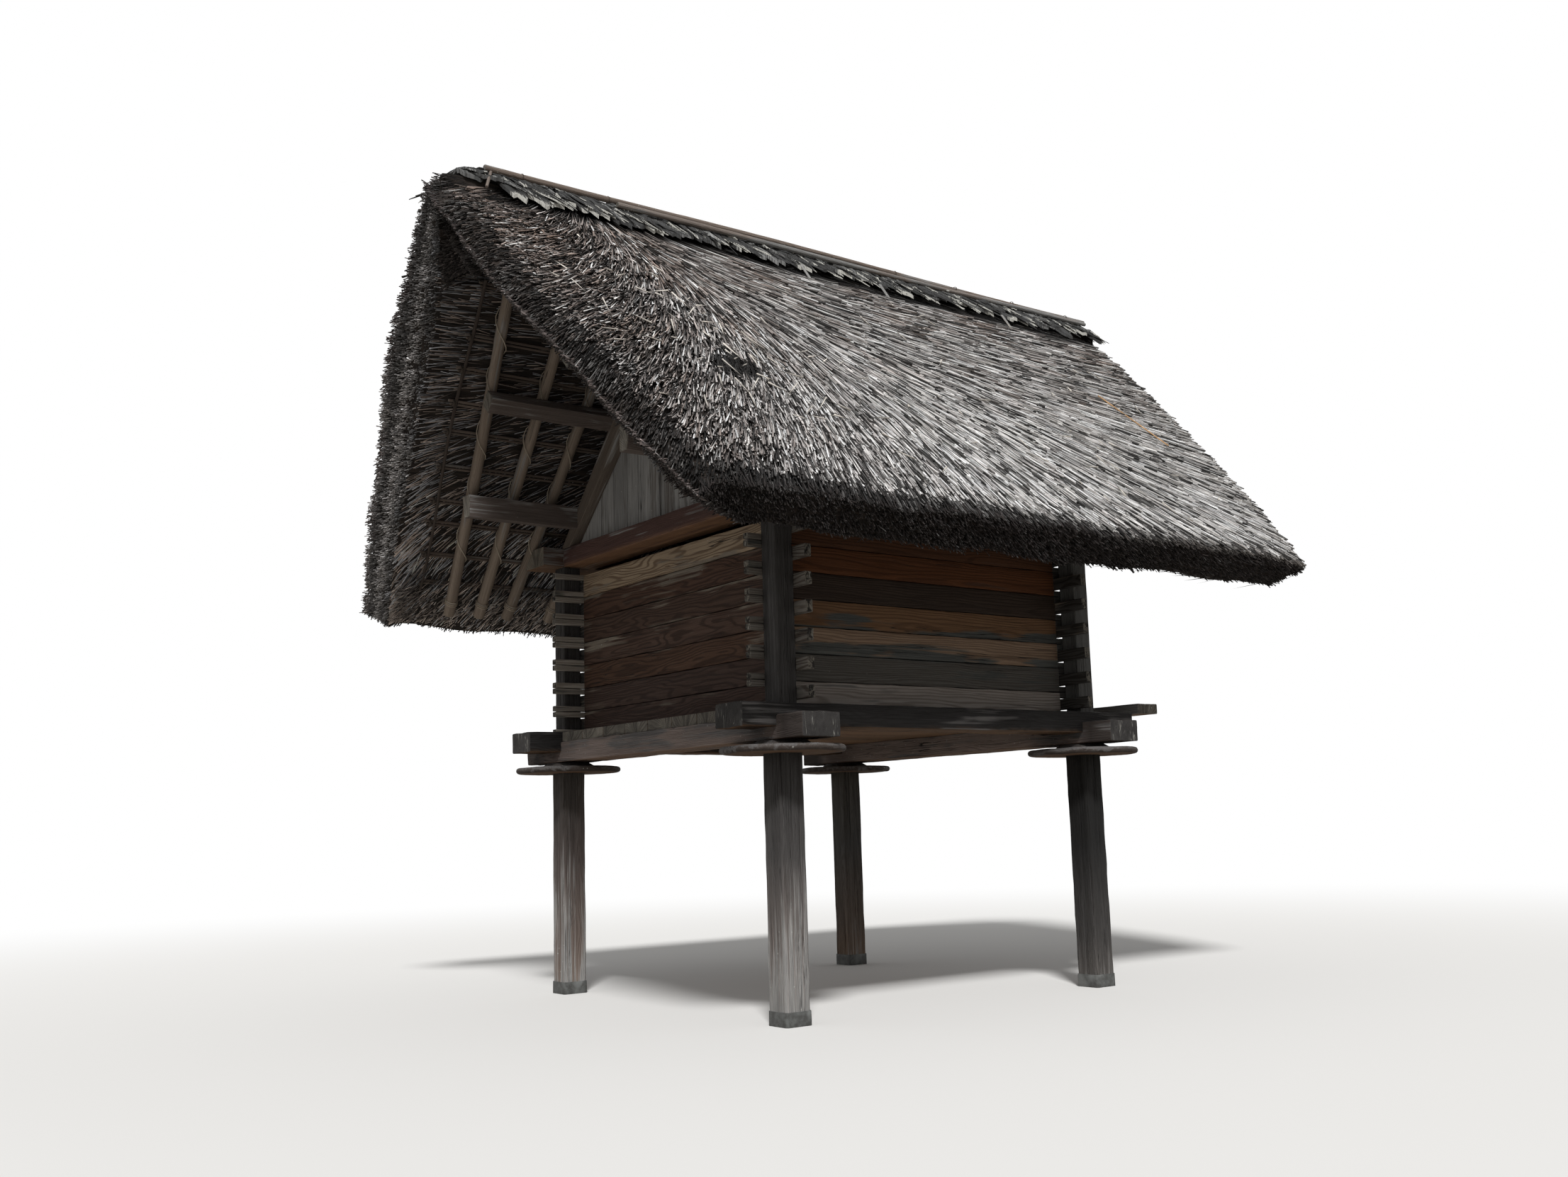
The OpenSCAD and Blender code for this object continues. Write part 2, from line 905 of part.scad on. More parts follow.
module verge_canes() {
    color([0.45, 0.4, 0.33])
        canes();
}

module thatch_front() {
    color([0.42, 0.37, 0.34])
        back()
            thatch_slope(-1);
}

module thatch_back() {
    color([0.42, 0.37, 0.34])
        thatch_slope(1);
}

module ridge_bark() {
    color([0.55, 0.57, 0.52])
        bark();
}

module ridge_poles() {
    color([0.47, 0.43, 0.38])
        pole_cover();
}

post_front_left();
post_front_right();
post_back_left();
post_back_right();
foot_bands();
rat_guard_front_left();
rat_guard_front_right();
rat_guard_back_left();
rat_guard_back_right();
floor_beam_left();
floor_beam_right();
floor_beam_front();
floor_beam_back();
floor_boards();
landing_plank();
front_wall();
back_wall();
left_gable_wall();
right_gable_wall();
eave_plate_front();
eave_plate_back();
gable_plate_left();
gable_plate_right();
gable_rafters_left();
gable_rafters_right();
gable_boards_left();
gable_boards_right();
lower_purlin_front();
lower_purlin_back();
upper_purlin_front();
upper_purlin_back();
ridge_beam();
pole_rafters_front();
pole_rafters_back();
battens_front();
battens_back();
verge_canes();
thatch_front();
thatch_back();
ridge_bark();
ridge_poles();
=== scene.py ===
# %% [markdown]
# # Raised granary in weathered timber and reed
#
# The building is a small store room of stacked planks on four posts, under a
# steep thatched roof. This lesson dresses the solids of the frame at their own
# sizes: each timber is swept again with worn edges and its own grain, and the
# roof is laid reed by reed with arrays of numbers.

# %% Load the frame
import math
import bpy
import numpy as np
from mathutils import Matrix, Vector


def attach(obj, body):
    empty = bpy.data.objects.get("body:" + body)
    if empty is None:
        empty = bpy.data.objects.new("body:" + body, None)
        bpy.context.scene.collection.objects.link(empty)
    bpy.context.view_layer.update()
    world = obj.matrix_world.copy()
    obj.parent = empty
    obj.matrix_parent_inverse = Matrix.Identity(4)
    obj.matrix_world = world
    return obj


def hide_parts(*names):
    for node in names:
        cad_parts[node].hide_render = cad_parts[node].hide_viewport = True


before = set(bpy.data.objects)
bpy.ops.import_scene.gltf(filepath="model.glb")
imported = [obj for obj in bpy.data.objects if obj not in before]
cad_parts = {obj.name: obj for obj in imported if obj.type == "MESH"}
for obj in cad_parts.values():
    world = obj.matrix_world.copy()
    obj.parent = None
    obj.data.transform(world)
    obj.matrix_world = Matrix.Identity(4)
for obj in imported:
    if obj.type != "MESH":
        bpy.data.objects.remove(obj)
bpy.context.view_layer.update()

# %% [markdown]
# ## Camera
#
# The view was solved from the straight members of the real building: the
# camera stands low, off the front left corner, and looks up at the roof. Yaw
# turns from +Y towards +X, pitch looks up, and roll tips the horizon.

# %% Place the camera
VIEW_FROM = Vector((-7.928, -10.003, 1.356))
YAW, PITCH, ROLL = (math.radians(v) for v in (36.858, 9.086, -1.682))
LENS_MM, SENSOR_MM = 34.02, 36.0

scene = bpy.context.scene
ahead = Vector((math.sin(YAW) * math.cos(PITCH), math.cos(YAW) * math.cos(PITCH), math.sin(PITCH)))
level = Vector((math.cos(YAW), -math.sin(YAW), 0.0))
upward = level.cross(ahead)
cam_right = level * math.cos(ROLL) + upward * math.sin(ROLL)
cam_up = upward * math.cos(ROLL) - level * math.sin(ROLL)
camera_data = bpy.data.cameras.new("camera")
camera_data.lens = LENS_MM
camera_data.sensor_width = SENSOR_MM
camera = bpy.data.objects.new("camera", camera_data)
scene.collection.objects.link(camera)
camera.matrix_world = Matrix.Translation(VIEW_FROM) @ Matrix(
    (cam_right, cam_up, -ahead)).transposed().to_4x4()
bpy.context.scene.camera = camera
print("camera at", tuple(round(v, 2) for v in VIEW_FROM))

# %% [markdown]
# ## Light and floor
#
# A broad, soft sun stands high over the front, and a white sky fills the
# shadows. One lamp alone would leave the eaves black, and a sky alone would
# leave the reeds flat. The sky is darker to light than to the camera, so the
# background stays white while the underside of the roof keeps its depth.

# %% Set the light
SUN_FROM = Vector((-0.60, -0.88, 1.15))
SUN_STRENGTH, SUN_DEGREES = 3.0, 9.0

scene.view_settings.view_transform = "Standard"
sun_data = bpy.data.lights.new("sun", "SUN")
sun_data.energy = SUN_STRENGTH
sun_data.angle = math.radians(SUN_DEGREES)
sun = bpy.data.objects.new("sun", sun_data)
sun.rotation_mode = "QUATERNION"
sun.rotation_quaternion = SUN_FROM.to_track_quat("Z", "Y")
scene.collection.objects.link(sun)
print("sun", SUN_STRENGTH, "and", SUN_DEGREES, "degrees wide")


# %% Short calls for shader nodes
def put(tree, socket, value):
    """Link an output to the socket, or set a plain value there; a colour may leave out its alpha."""
    if isinstance(value, bpy.types.NodeSocket):
        tree.links.new(value, socket)
    elif socket.type == "RGBA" and len(value) == 3:
        socket.default_value = (*value, 1.0)
    else:
        socket.default_value = value


def node(tree, kind, feeds=None, **settings):
    """One shader node of that kind; feeds gives its inputs by name or number, and None is skipped."""
    made = tree.nodes.new(kind)
    for name, value in settings.items():
        setattr(made, name, value)
    for name, value in (feeds or {}).items():
        if value is not None:
            put(tree, made.inputs[name], value)
    return made


print("node calls ready")

# %% Light the sky
SKY_LIGHT, SKY_SEEN = 0.36, 1.0
world = bpy.data.worlds.new("sky")
scene.world = world
world.use_nodes = True
sky = world.node_tree
sky.nodes.clear()
rays = node(sky, "ShaderNodeLightPath").outputs
mirrored = node(sky, "ShaderNodeMath", {0: rays["Is Glossy Ray"], 1: rays["Is Transmission Ray"]},
                operation="MAXIMUM").outputs[0]
seen = node(sky, "ShaderNodeMath", {0: rays["Is Camera Ray"], 1: mirrored}, operation="MAXIMUM").outputs[0]
strength = node(sky, "ShaderNodeMapRange", {"Value": seen, "To Min": SKY_LIGHT, "To Max": SKY_SEEN})
back = node(sky, "ShaderNodeBackground", {"Color": (1.0, 1.0, 1.0), "Strength": strength.outputs[0]})
node(sky, "ShaderNodeOutputWorld", {"Surface": back.outputs[0]})
print("sky", SKY_LIGHT, "and", SKY_SEEN)

# %% Lay the floor
# To the camera the floor is pale and fades to the white of the background.
# To other rays it is duller, so it throws little light up under the roof.
FLOOR_HALF = 80.0
FLOOR_TONE = (0.80, 0.79, 0.77)
FLOOR_BOUNCE = (0.40, 0.38, 0.35)
FADE_FROM, FADE_TO = 6.0, 19.0

floor_mesh = bpy.data.meshes.new("studio_floor")
square = ((-1, -1), (1, -1), (1, 1), (-1, 1))
floor_mesh.from_pydata([(x * FLOOR_HALF, y * FLOOR_HALF, 0) for x, y in square], [], [(0, 1, 2, 3)])
studio_floor = bpy.data.objects.new("studio_floor", floor_mesh)
scene.collection.objects.link(studio_floor)
floor_paint = bpy.data.materials.new("floor_paint")
floor_paint.use_nodes = True
floor_tree = floor_paint.node_tree
floor_tree.nodes.clear()
near = node(floor_tree, "ShaderNodeBsdfDiffuse", {"Color": FLOOR_TONE}).outputs[0]
far = node(floor_tree, "ShaderNodeEmission").outputs[0]
dull = node(floor_tree, "ShaderNodeBsdfDiffuse", {"Color": FLOOR_BOUNCE}).outputs[0]
spot_at = node(floor_tree, "ShaderNodeTexCoord").outputs["Object"]
away = node(floor_tree, "ShaderNodeVectorMath", {0: spot_at}, operation="LENGTH").outputs["Value"]
fade = node(floor_tree, "ShaderNodeMapRange", {"Value": away, "From Min": FADE_FROM, "From Max": FADE_TO},
            interpolation_type="SMOOTHSTEP").outputs[0]
blend = node(floor_tree, "ShaderNodeMixShader", {0: fade, 1: near, 2: far}).outputs[0]
eye = node(floor_tree, "ShaderNodeLightPath").outputs["Is Camera Ray"]
pick = node(floor_tree, "ShaderNodeMixShader", {0: eye, 1: dull, 2: blend}).outputs[0]
node(floor_tree, "ShaderNodeOutputMaterial", {"Surface": pick})
floor_mesh.materials.append(floor_paint)
print("floor", 2 * FLOOR_HALF, "m wide")

# %% [markdown]
# ## Arrays to meshes
#
# Boxes with bevels could stand for the timbers, but old wood is uneven
# everywhere, and arrays of points are easy to move by a formula. So every
# piece is worked out as whole arrays: points, faces and the values that its
# finish reads. "grain" says where a point lies in its own piece of wood, with
# the first number along the fibres. "tone" differs from piece to piece,
# "grey" says how far the weather has bleached the surface, "cut" is 1 on end
# grain, and "paint" is the piece's colour, which in places also holds painted
# shade and painted light.

# %% Smooth unevenness
def unit(vectors):
    """The vectors at length 1."""
    return vectors / np.linalg.norm(vectors, axis=-1, keepdims=True)


def ripple(p, size, seed, waves=5):
    """Smooth unevenness between about -1 and 1 at points p (n x 3).

    It is the mean of a few sine waves, each with its own direction, phase
    and a wavelength near size, in metres."""
    r = np.random.default_rng(seed)
    way = unit(r.normal(size=(waves, p.shape[-1])))
    way *= 2 * math.pi / (size * r.uniform(0.6, 1.7, (waves, 1)))
    return np.sin(p @ way.T + r.uniform(0, 2 * math.pi, waves)).mean(axis=-1) * 1.6


print("ripple at the origin", round(float(ripple(np.zeros((1, 3)), 1.0, 1)[0]), 3))


# %% Joined meshes
# Name, kind, field and columns of the values that a finish reads, the last one with its alpha
LAYERS = (("grain", "FLOAT_VECTOR", "vector", slice(0, 3)), ("tone", "FLOAT", "value", 3),
          ("grey", "FLOAT", "value", 4), ("cut", "FLOAT", "value", 5),
          ("paint", "FLOAT_COLOR", "color", slice(6, 10)))
GREY, PAINT = 4, slice(6, 9)
# Degrees past which an edge stays crisp: on worn pieces, and on sawn ones
WORN, SAWN = 38, 28


class Batch:
    """Collects many small surfaces and makes one mesh of them."""

    def __init__(self):
        self.points, self.faces, self.values, self.count = [], [], [], 0

    def add(self, points, faces, grain, tone=0.5, grey=0.5, cut=0.0, paint=(1.0, 1.0, 1.0)):
        """points n x 3, faces m x 3 or m x 4 that index them, and the values of the finish."""
        n = len(points)
        columns = [np.broadcast_to(np.asarray(v, float), (n,)) for v in (tone, grey, cut)]
        colour = np.broadcast_to(np.asarray(paint, float), (n, 3))
        self.points.append(points)
        self.faces.append(np.asarray(faces) + self.count)
        self.values.append(np.column_stack([grain, *columns, colour]))
        self.count += n

    def add_closed(self, points, quads, fans, *values):
        """A closed tube: its quads and the fans over its two ends, facing outwards."""
        quads, fans = outward(points, quads, fans)
        first = self.count
        self.add(points, quads, *values)
        self.faces.append(fans + first)

    def build(self, name, material, slot, stands_for=(), sharp=WORN):
        """The joined mesh as an object that rides on the building.

        Edges sharper than `sharp` degrees stay crisp; 0 leaves every face flat."""
        points = np.concatenate(self.points)
        values = np.column_stack([np.concatenate(self.values), np.ones(len(points))])
        sizes = np.concatenate([np.full(len(f), f.shape[1]) for f in self.faces])
        loops = np.concatenate([f.ravel() for f in self.faces])
        mesh = bpy.data.meshes.new(name)
        mesh.vertices.add(len(points))
        mesh.vertices.foreach_set("co", points.ravel())
        mesh.loops.add(len(loops))
        mesh.loops.foreach_set("vertex_index", loops)
        mesh.polygons.add(len(sizes))
        mesh.polygons.foreach_set("loop_start", np.concatenate([[0], np.cumsum(sizes)[:-1]]))
        mesh.update(calc_edges=True)
        for word, kind, field, columns in LAYERS:
            layer = mesh.attributes.new(word, kind, "POINT")
            layer.data.foreach_set(field, values[:, columns].ravel())
        if sharp:
            mesh.shade_smooth()
            mesh.set_sharp_from_angle(angle=math.radians(sharp))
        mesh.materials.append(material)
        piece = bpy.data.objects.new(name, mesh)
        scene.collection.objects.link(piece)
        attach(piece, "root")
        if stands_for:
            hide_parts(*stands_for)
        print(f"{name}: {int((sizes - 2).sum())} triangles")


print("values of a finish", [word for word, *_ in LAYERS])


# %% Outlines
def outline(corners, radius, step=0.05, extras=None):
    """Closed profile through the corners, each rounded by three points.

    Points are added along the sides, one for each step or as many as extras gives."""
    c = np.asarray(corners, float)
    ring = []
    for k, (a, b, d) in enumerate(zip(np.roll(c, 1, axis=0), c, np.roll(c, -1, axis=0))):
        into = (b - a) / np.linalg.norm(b - a)
        away = (d - b) / np.linalg.norm(d - b)
        room = 0.45 * min(np.linalg.norm(b - a), np.linalg.norm(d - b))
        r = min(radius, room)
        start, end = b - into * r, b + away * r
        ring += [start, (start + end) / 4 + b / 2, end]
        side = np.linalg.norm(d - b) - 2 * r
        extra = int(side / step) if extras is None else extras[k]
        for i in range(1, extra + 1):
            ring.append(end + away * side * i / (extra + 1))
    return np.array(ring)


def rectangle(width, height, radius, step):
    """Outline of a sawn section, middle at the origin."""
    w, h = width / 2, height / 2
    return outline([(-w, -h), (w, -h), (w, h), (-w, h)], radius, step)


def circle(diameter, count):
    """Outline of a round section."""
    turn = np.arange(count) * 2 * math.pi / count
    return np.stack([np.cos(turn), np.sin(turn)], -1) * diameter / 2


print("points of a sawn outline", len(rectangle(0.3, 0.2, 0.01, 0.03)))


# %% Faces of a sweep
def sweep_faces(rows, ring):
    """Quads between neighbouring rings of a swept tube, and a fan on each end point."""
    i, j = np.meshgrid(np.arange(rows - 1), np.arange(ring), indexing="ij")
    a = i * ring + j
    b = i * ring + (j + 1) % ring
    quads = np.stack([a, b, b + ring, a + ring], axis=-1).reshape(-1, 4)
    k = np.arange(ring)
    last = (rows - 1) * ring
    first_fan = np.stack([(k + 1) % ring, k, np.full(ring, rows * ring)], axis=-1)
    last_fan = np.stack([last + k, last + (k + 1) % ring, np.full(ring, rows * ring + 1)], axis=-1)
    return quads, np.concatenate([first_fan, last_fan])


def outward(points, quads, fans):
    """The faces, turned round if the volume they enclose comes out negative.

    Volume = a sixth of the sum over triangles of corner 1 . (corner 2 x corner 3)."""
    p = points - points.mean(axis=0)
    total = 0.0
    for face in (quads[:, [0, 1, 2]], quads[:, [0, 2, 3]], fans):
        total += np.einsum("ij,ij->", p[face[:, 0]], np.cross(p[face[:, 1]], p[face[:, 2]]))
    return (quads, fans) if total > 0 else (quads[:, ::-1], fans[:, ::-1])


print("faces of a swept box", [len(f) for f in sweep_faces(2, 4)])

# %% [markdown]
# ## One length of wood
#
# Every timber is swept between two outlines. A sawn block with a bump map
# would stay straight at its edges. Here each point moves square to the fibres
# by a smooth noise, so that edges wander, ends are worn round, and drying
# cracks run into the wood along the fibres.

# %% Cracks along the fibres
CRACK_HALF, CRACK_WANDER = 0.0045, 0.006


def frame_along(start, end, side):
    """Length from start to end, and the unit vectors along, to the side and upwards."""
    length = np.linalg.norm(end - start)
    along = (end - start) / length
    side = np.asarray(side, float)
    side = side - along * (side @ along)
    side /= np.linalg.norm(side)
    return length, along, side, np.cross(along, side)


def crack_depth(r, u, ring, length, count, most):
    """How far drying cracks push in the points of a sweep; u is their distance along it.

    A crack keeps its place on the girth but for a slow wander. Its depth is
    exp(-(distance / 4.5 mm)^2), times a window that is 1 in the middle of its
    span and 0 at both ends."""
    girth = np.concatenate([[0], np.cumsum(np.linalg.norm(np.diff(ring, axis=0), axis=1))])
    whole = girth[-1] + np.linalg.norm(ring[0] - ring[-1])
    depth = np.zeros(u.shape)
    for _ in range(count):
        at = r.uniform(0, whole)
        at = at + ripple(np.stack([u, u * 0], -1), 0.9, int(r.integers(1e6)), 3) * CRACK_WANDER
        away = np.abs((girth[None] - at + whole / 2) % whole - whole / 2)
        start, span = r.uniform(-0.2, 0.9) * length, r.uniform(0.25, 0.8) * length
        window = np.clip(1 - ((u - start - span / 2) / (span / 2)) ** 2, 0, 1)
        depth += np.exp(-(away / CRACK_HALF) ** 2) * window * most * r.uniform(0.5, 1)
    return depth


print("a crack is about", round(2000 * CRACK_HALF), "mm wide")

# %% Sweep one length of wood
# Share of its size that the innermost ring of an end keeps
END_SHARE = 0.45


def loft(batch, ring_a, ring_b, seed, side=(0, 1, 0), wear=0.0025, step=0.14, tone=None, grey=0.5,
         paint=(1, 1, 1), place=None, grooves=0, groove_depth=0.008, round_over=0.004):
    """A length of wood between two outlines with the same number of points.

    Point = middle(t) + (outline(t) - middle(t)) * shrink, where t runs from 0
    at the first end to 1 at the second and both outlines are mixed by t. Then
    every point moves square to the fibres by a smooth uneven amount up to
    wear, and inwards along each drying crack."""
    r = np.random.default_rng(seed)
    a, b = np.asarray(ring_a, float), np.asarray(ring_b, float)
    mid_a, mid_b = a.mean(axis=0), b.mean(axis=0)
    length, along, side, rise = frame_along(mid_a, mid_b, side)
    inset = min(round_over / length, 0.2)
    t = np.concatenate([[0, 0], np.linspace(0, 1, max(3, int(length / step) + 1)), [1, 1]])
    t[2], t[-3] = inset, 1 - inset
    shrink = np.ones(len(t))
    shrink[[0, -1]] = END_SHARE
    shrink[[1, -2]] = 1 - round_over / np.linalg.norm(a - mid_a, axis=1).max()
    ring = a[None] * (1 - t[:, None, None]) + b[None] * t[:, None, None]
    middle = mid_a[None] * (1 - t[:, None]) + mid_b[None] * t[:, None]
    off = ring - middle[:, None]
    inner = off * shrink[:, None, None]
    slope_off = off @ along
    u = np.broadcast_to(t[:, None] * length, (len(t), len(a)))
    depth = crack_depth(r, u, a, length, grooves, groove_depth)
    local = np.stack([u.ravel() + slope_off.ravel(), (inner @ side).ravel(), (inner @ rise).ravel()], -1)
    out = off - slope_off[..., None] * along
    out = (out / np.maximum(np.linalg.norm(out, axis=2, keepdims=True), 1e-6)).reshape(-1, 3)
    push = ripple(local * [0.6, 1, 1], 0.22, seed) * 0.6 + ripple(local * [0.8, 1, 1], 0.07, seed + 1) * 0.4
    points = (middle[:, None] + inner).reshape(-1, 3) + out * (push * wear - depth.ravel())[:, None]
    local = np.concatenate([local, [[0.0, 0, 0], [length, 0, 0]]])
    cut = np.zeros((len(t), len(a)))
    cut[[0, 1, -2, -1]] = 1.0
    cut = np.concatenate([cut.ravel(), [1.0, 1.0]])
    if place is None:
        place = (r.uniform(0, 40), r.uniform(-0.12, 0.12), r.uniform(0.03, 0.16))
    quads, fans = sweep_faces(len(t), len(a))
    tone = r.uniform(0, 1) if tone is None else tone
    batch.add_closed(np.concatenate([points, [mid_a, mid_b]]), quads, fans, local + place, tone, grey, cut,
                     paint)


def bar(batch, start, end, ring, seed, side=(0, 1, 0), **more):
    """A straight piece from start to end; ring gives its outline as (side, up) offsets."""
    start, end = np.asarray(start, float), np.asarray(end, float)
    _, _, side, up = frame_along(start, end, side)
    offsets = ring[:, :1] * side + ring[:, 1:] * up
    loft(batch, start + offsets, end + offsets, seed, side=side, **more)


print("last ring of an end", END_SHARE, "of its size")

# %% [markdown]
# ## Finishes
#
# The old timber shows growth rings on its ends, long flame-shaped bands on
# its faces, fine fibres, drying cracks, and a silver skin where rain and sun
# reach it. One recipe holds all of these. It reads the place in the wood, so
# the same rings run through a face and its end. Each kind of timber gets its
# own material from the recipe, and each piece its own colour through "paint".

# %% Shader helper
class Finish:
    """Short names for the shader nodes of one material."""

    def __init__(self, name, roughness):
        self.material = bpy.data.materials.new(name)
        self.material.use_nodes = True
        self.tree = self.material.node_tree
        self.shader = self.tree.nodes["Principled BSDF"]
        self.shader.inputs["Roughness"].default_value = roughness
        self.shader.inputs["Specular IOR Level"].default_value = 0.25

    def read(self, name, part="Fac"):
        """An attribute of the piece: its vector, its value or its colour."""
        return node(self.tree, "ShaderNodeAttribute", attribute_name=name).outputs[part]

    def place(self):
        """Object coordinates, in metres."""
        return node(self.tree, "ShaderNodeTexCoord").outputs["Object"]

    def scale(self, vector, by):
        """The vector, times one number for each axis."""
        return node(self.tree, "ShaderNodeMapping", {"Vector": vector, "Scale": by}).outputs[0]

    def noise(self, vector, size, detail, rough, part="Fac"):
        """Noise with `size` waves to a metre, 0 to 1 with its middle at 0.5."""
        feeds = {"Vector": vector, "Scale": size, "Detail": detail, "Roughness": rough}
        return node(self.tree, "ShaderNodeTexNoise", feeds).outputs[part]

    def drawn(self, vector, waves, detail=2.0, rough=0.5, part="Fac"):
        """Noise drawn out: the number of waves to a metre differs for each axis."""
        return self.noise(self.scale(vector, waves), 1.0, detail, rough, part)

    def vector(self, kind, a, b=None, scale=None):
        """Arithmetic on vectors; LENGTH gives a number."""
        made = node(self.tree, "ShaderNodeVectorMath", {0: a, 1: b, "Scale": scale}, operation=kind)
        return made.outputs["Value" if kind == "LENGTH" else "Vector"]

    def math(self, kind, a, b=0.0, c=0.0):
        """Arithmetic on numbers."""
        return node(self.tree, "ShaderNodeMath", {0: a, 1: b, 2: c}, operation=kind).outputs[0]

    def times(self, a, b):
        """Product of two numbers."""
        return self.math("MULTIPLY", a, b)

    def ease(self, value, low, high, out_low=0.0, out_high=1.0):
        """Smooth step from out_low at low to out_high at high."""
        feeds = {"Value": value, "From Min": low, "From Max": high, "To Min": out_low, "To Max": out_high}
        return node(self.tree, "ShaderNodeMapRange", feeds, interpolation_type="SMOOTHSTEP").outputs[0]

    def line(self, noise, low, high, most=1.0):
        """A thin line where the noise passes through its middle, fading over low to high."""
        return self.ease(self.math("ABSOLUTE", self.math("SUBTRACT", noise, 0.5)), low, high, most, 0.0)

    def mix(self, share, a, b, kind="MIX"):
        """Colour a turned into b by a share of 0 to 1."""
        feeds = {"Factor": share, "A": a, "B": b}
        return node(self.tree, "ShaderNodeMix", feeds, data_type="RGBA", blend_type=kind).outputs["Result"]

    def shaded(self, colour, factor):
        """The colour made lighter or darker by one factor."""
        return self.mix(1.0, colour, self.vector("SCALE", (1, 1, 1), scale=factor), "MULTIPLY")

    def bump(self, height, depth):
        """Fine relief, depth metres for a height of 1."""
        made = node(self.tree, "ShaderNodeBump", {"Distance": depth, "Height": height})
        put(self.tree, self.shader.inputs["Normal"], made.outputs[0])

    def finish(self, colour, roughness=None):
        """The material, once its colour and roughness are known."""
        put(self.tree, self.shader.inputs["Base Color"], colour)
        if roughness is not None:
            put(self.tree, self.shader.inputs["Roughness"], roughness)
        return self.material


print("shader helper ready")

# %% Parts of the wood recipe
SILVER = (0.30, 0.295, 0.285)
END_PALE = (0.215, 0.195, 0.165)
CRACK = (0.012, 0.010, 0.009)
SPLIT = (0.34, 0.33, 0.30)
LICHEN = (0.52, 0.53, 0.49)
DARKER, LIGHTER = (0.46, 0.40, 0.36), (1.18, 1.16, 1.14)
ACROSS = (0.0, 1.0, 1.0)
WOOD_ROUGH = 0.88


def side_colour(f, grain, grey, paint, rings, fibre, patch, silver, ring_share, patchy):
    """Colour of the long faces: dark rings and fibres in the paint, under the silver skin.

    The skin comes where greyness and two noises add up to more than about a half."""
    streak = f.drawn(grain, (0.8, 34, 34), 2.0, 0.55)
    dark = f.mix(1.0, paint, DARKER, "MULTIPLY")
    colour = f.mix(f.times(rings, ring_share), f.mix(1.0, paint, LIGHTER, "MULTIPLY"), dark)
    colour = f.mix(f.ease(fibre, 0.35, 0.75, 0.0, 0.45), colour, dark)
    colour = f.mix(f.ease(streak, 0.3, 0.7, 0.35, 0.0), colour, dark)
    weather = f.math("ADD", grey, f.ease(patch, 0.38, 0.64, -patchy, patchy))
    weather = f.math("ADD", weather, f.ease(streak, 0.35, 0.65, -0.20, 0.20))
    skin = f.mix(f.ease(fibre, 0.3, 0.7), silver, (silver[0] * 0.55, silver[1] * 0.55, silver[2] * 0.56))
    return f.mix(f.ease(weather, 0.36, 0.76), colour, skin)


def end_colour(f, grain, rings, patch, spoke, pale, hollow):
    """Colour of cut ends: rings, dirty patches, dark spokes, soft holes and a few pale splits."""
    end = f.mix(f.times(rings, 0.55), pale, tuple(0.5 * v for v in pale))
    end = f.mix(f.ease(patch, 0.4, 0.7, 0.0, 0.6), end, tuple(0.36 * v for v in pale))
    end = f.mix(spoke, end, CRACK)
    hole = f.ease(f.drawn(grain, (22, 30, 22), 2.0, 0.6), 0.5, 0.58)
    end = f.mix(f.times(hole, hollow), end, CRACK)
    split = f.line(f.drawn(grain, (0.0, 26, 3), 1.0, 0.5), 0.004, 0.012, 0.7)
    split = f.times(split, f.ease(f.drawn(grain, (5, 9, 9), 1.0, 0.5), 0.46, 0.6))
    return f.mix(split, end, SPLIT)


def lichen_spots(f, grey, share):
    """Small pale spots at random cells of space, only where the wood is grey."""
    at = f.scale(f.place(), (1.0, 1.0, 0.8))
    dots = node(f.tree, "ShaderNodeTexVoronoi", {"Scale": 34.0, "Vector": at})
    few = f.math("LESS_THAN", f.vector("LENGTH", dots.outputs["Color"]), 0.34 + 0.42 * share)
    spot = f.times(f.ease(dots.outputs["Distance"], 0.12, 0.2, 1.0, 0.0), few)
    return f.times(f.times(spot, f.ease(grey, 0.2, 0.6)), 0.75)


print("silver skin", SILVER, "cut ends", END_PALE)


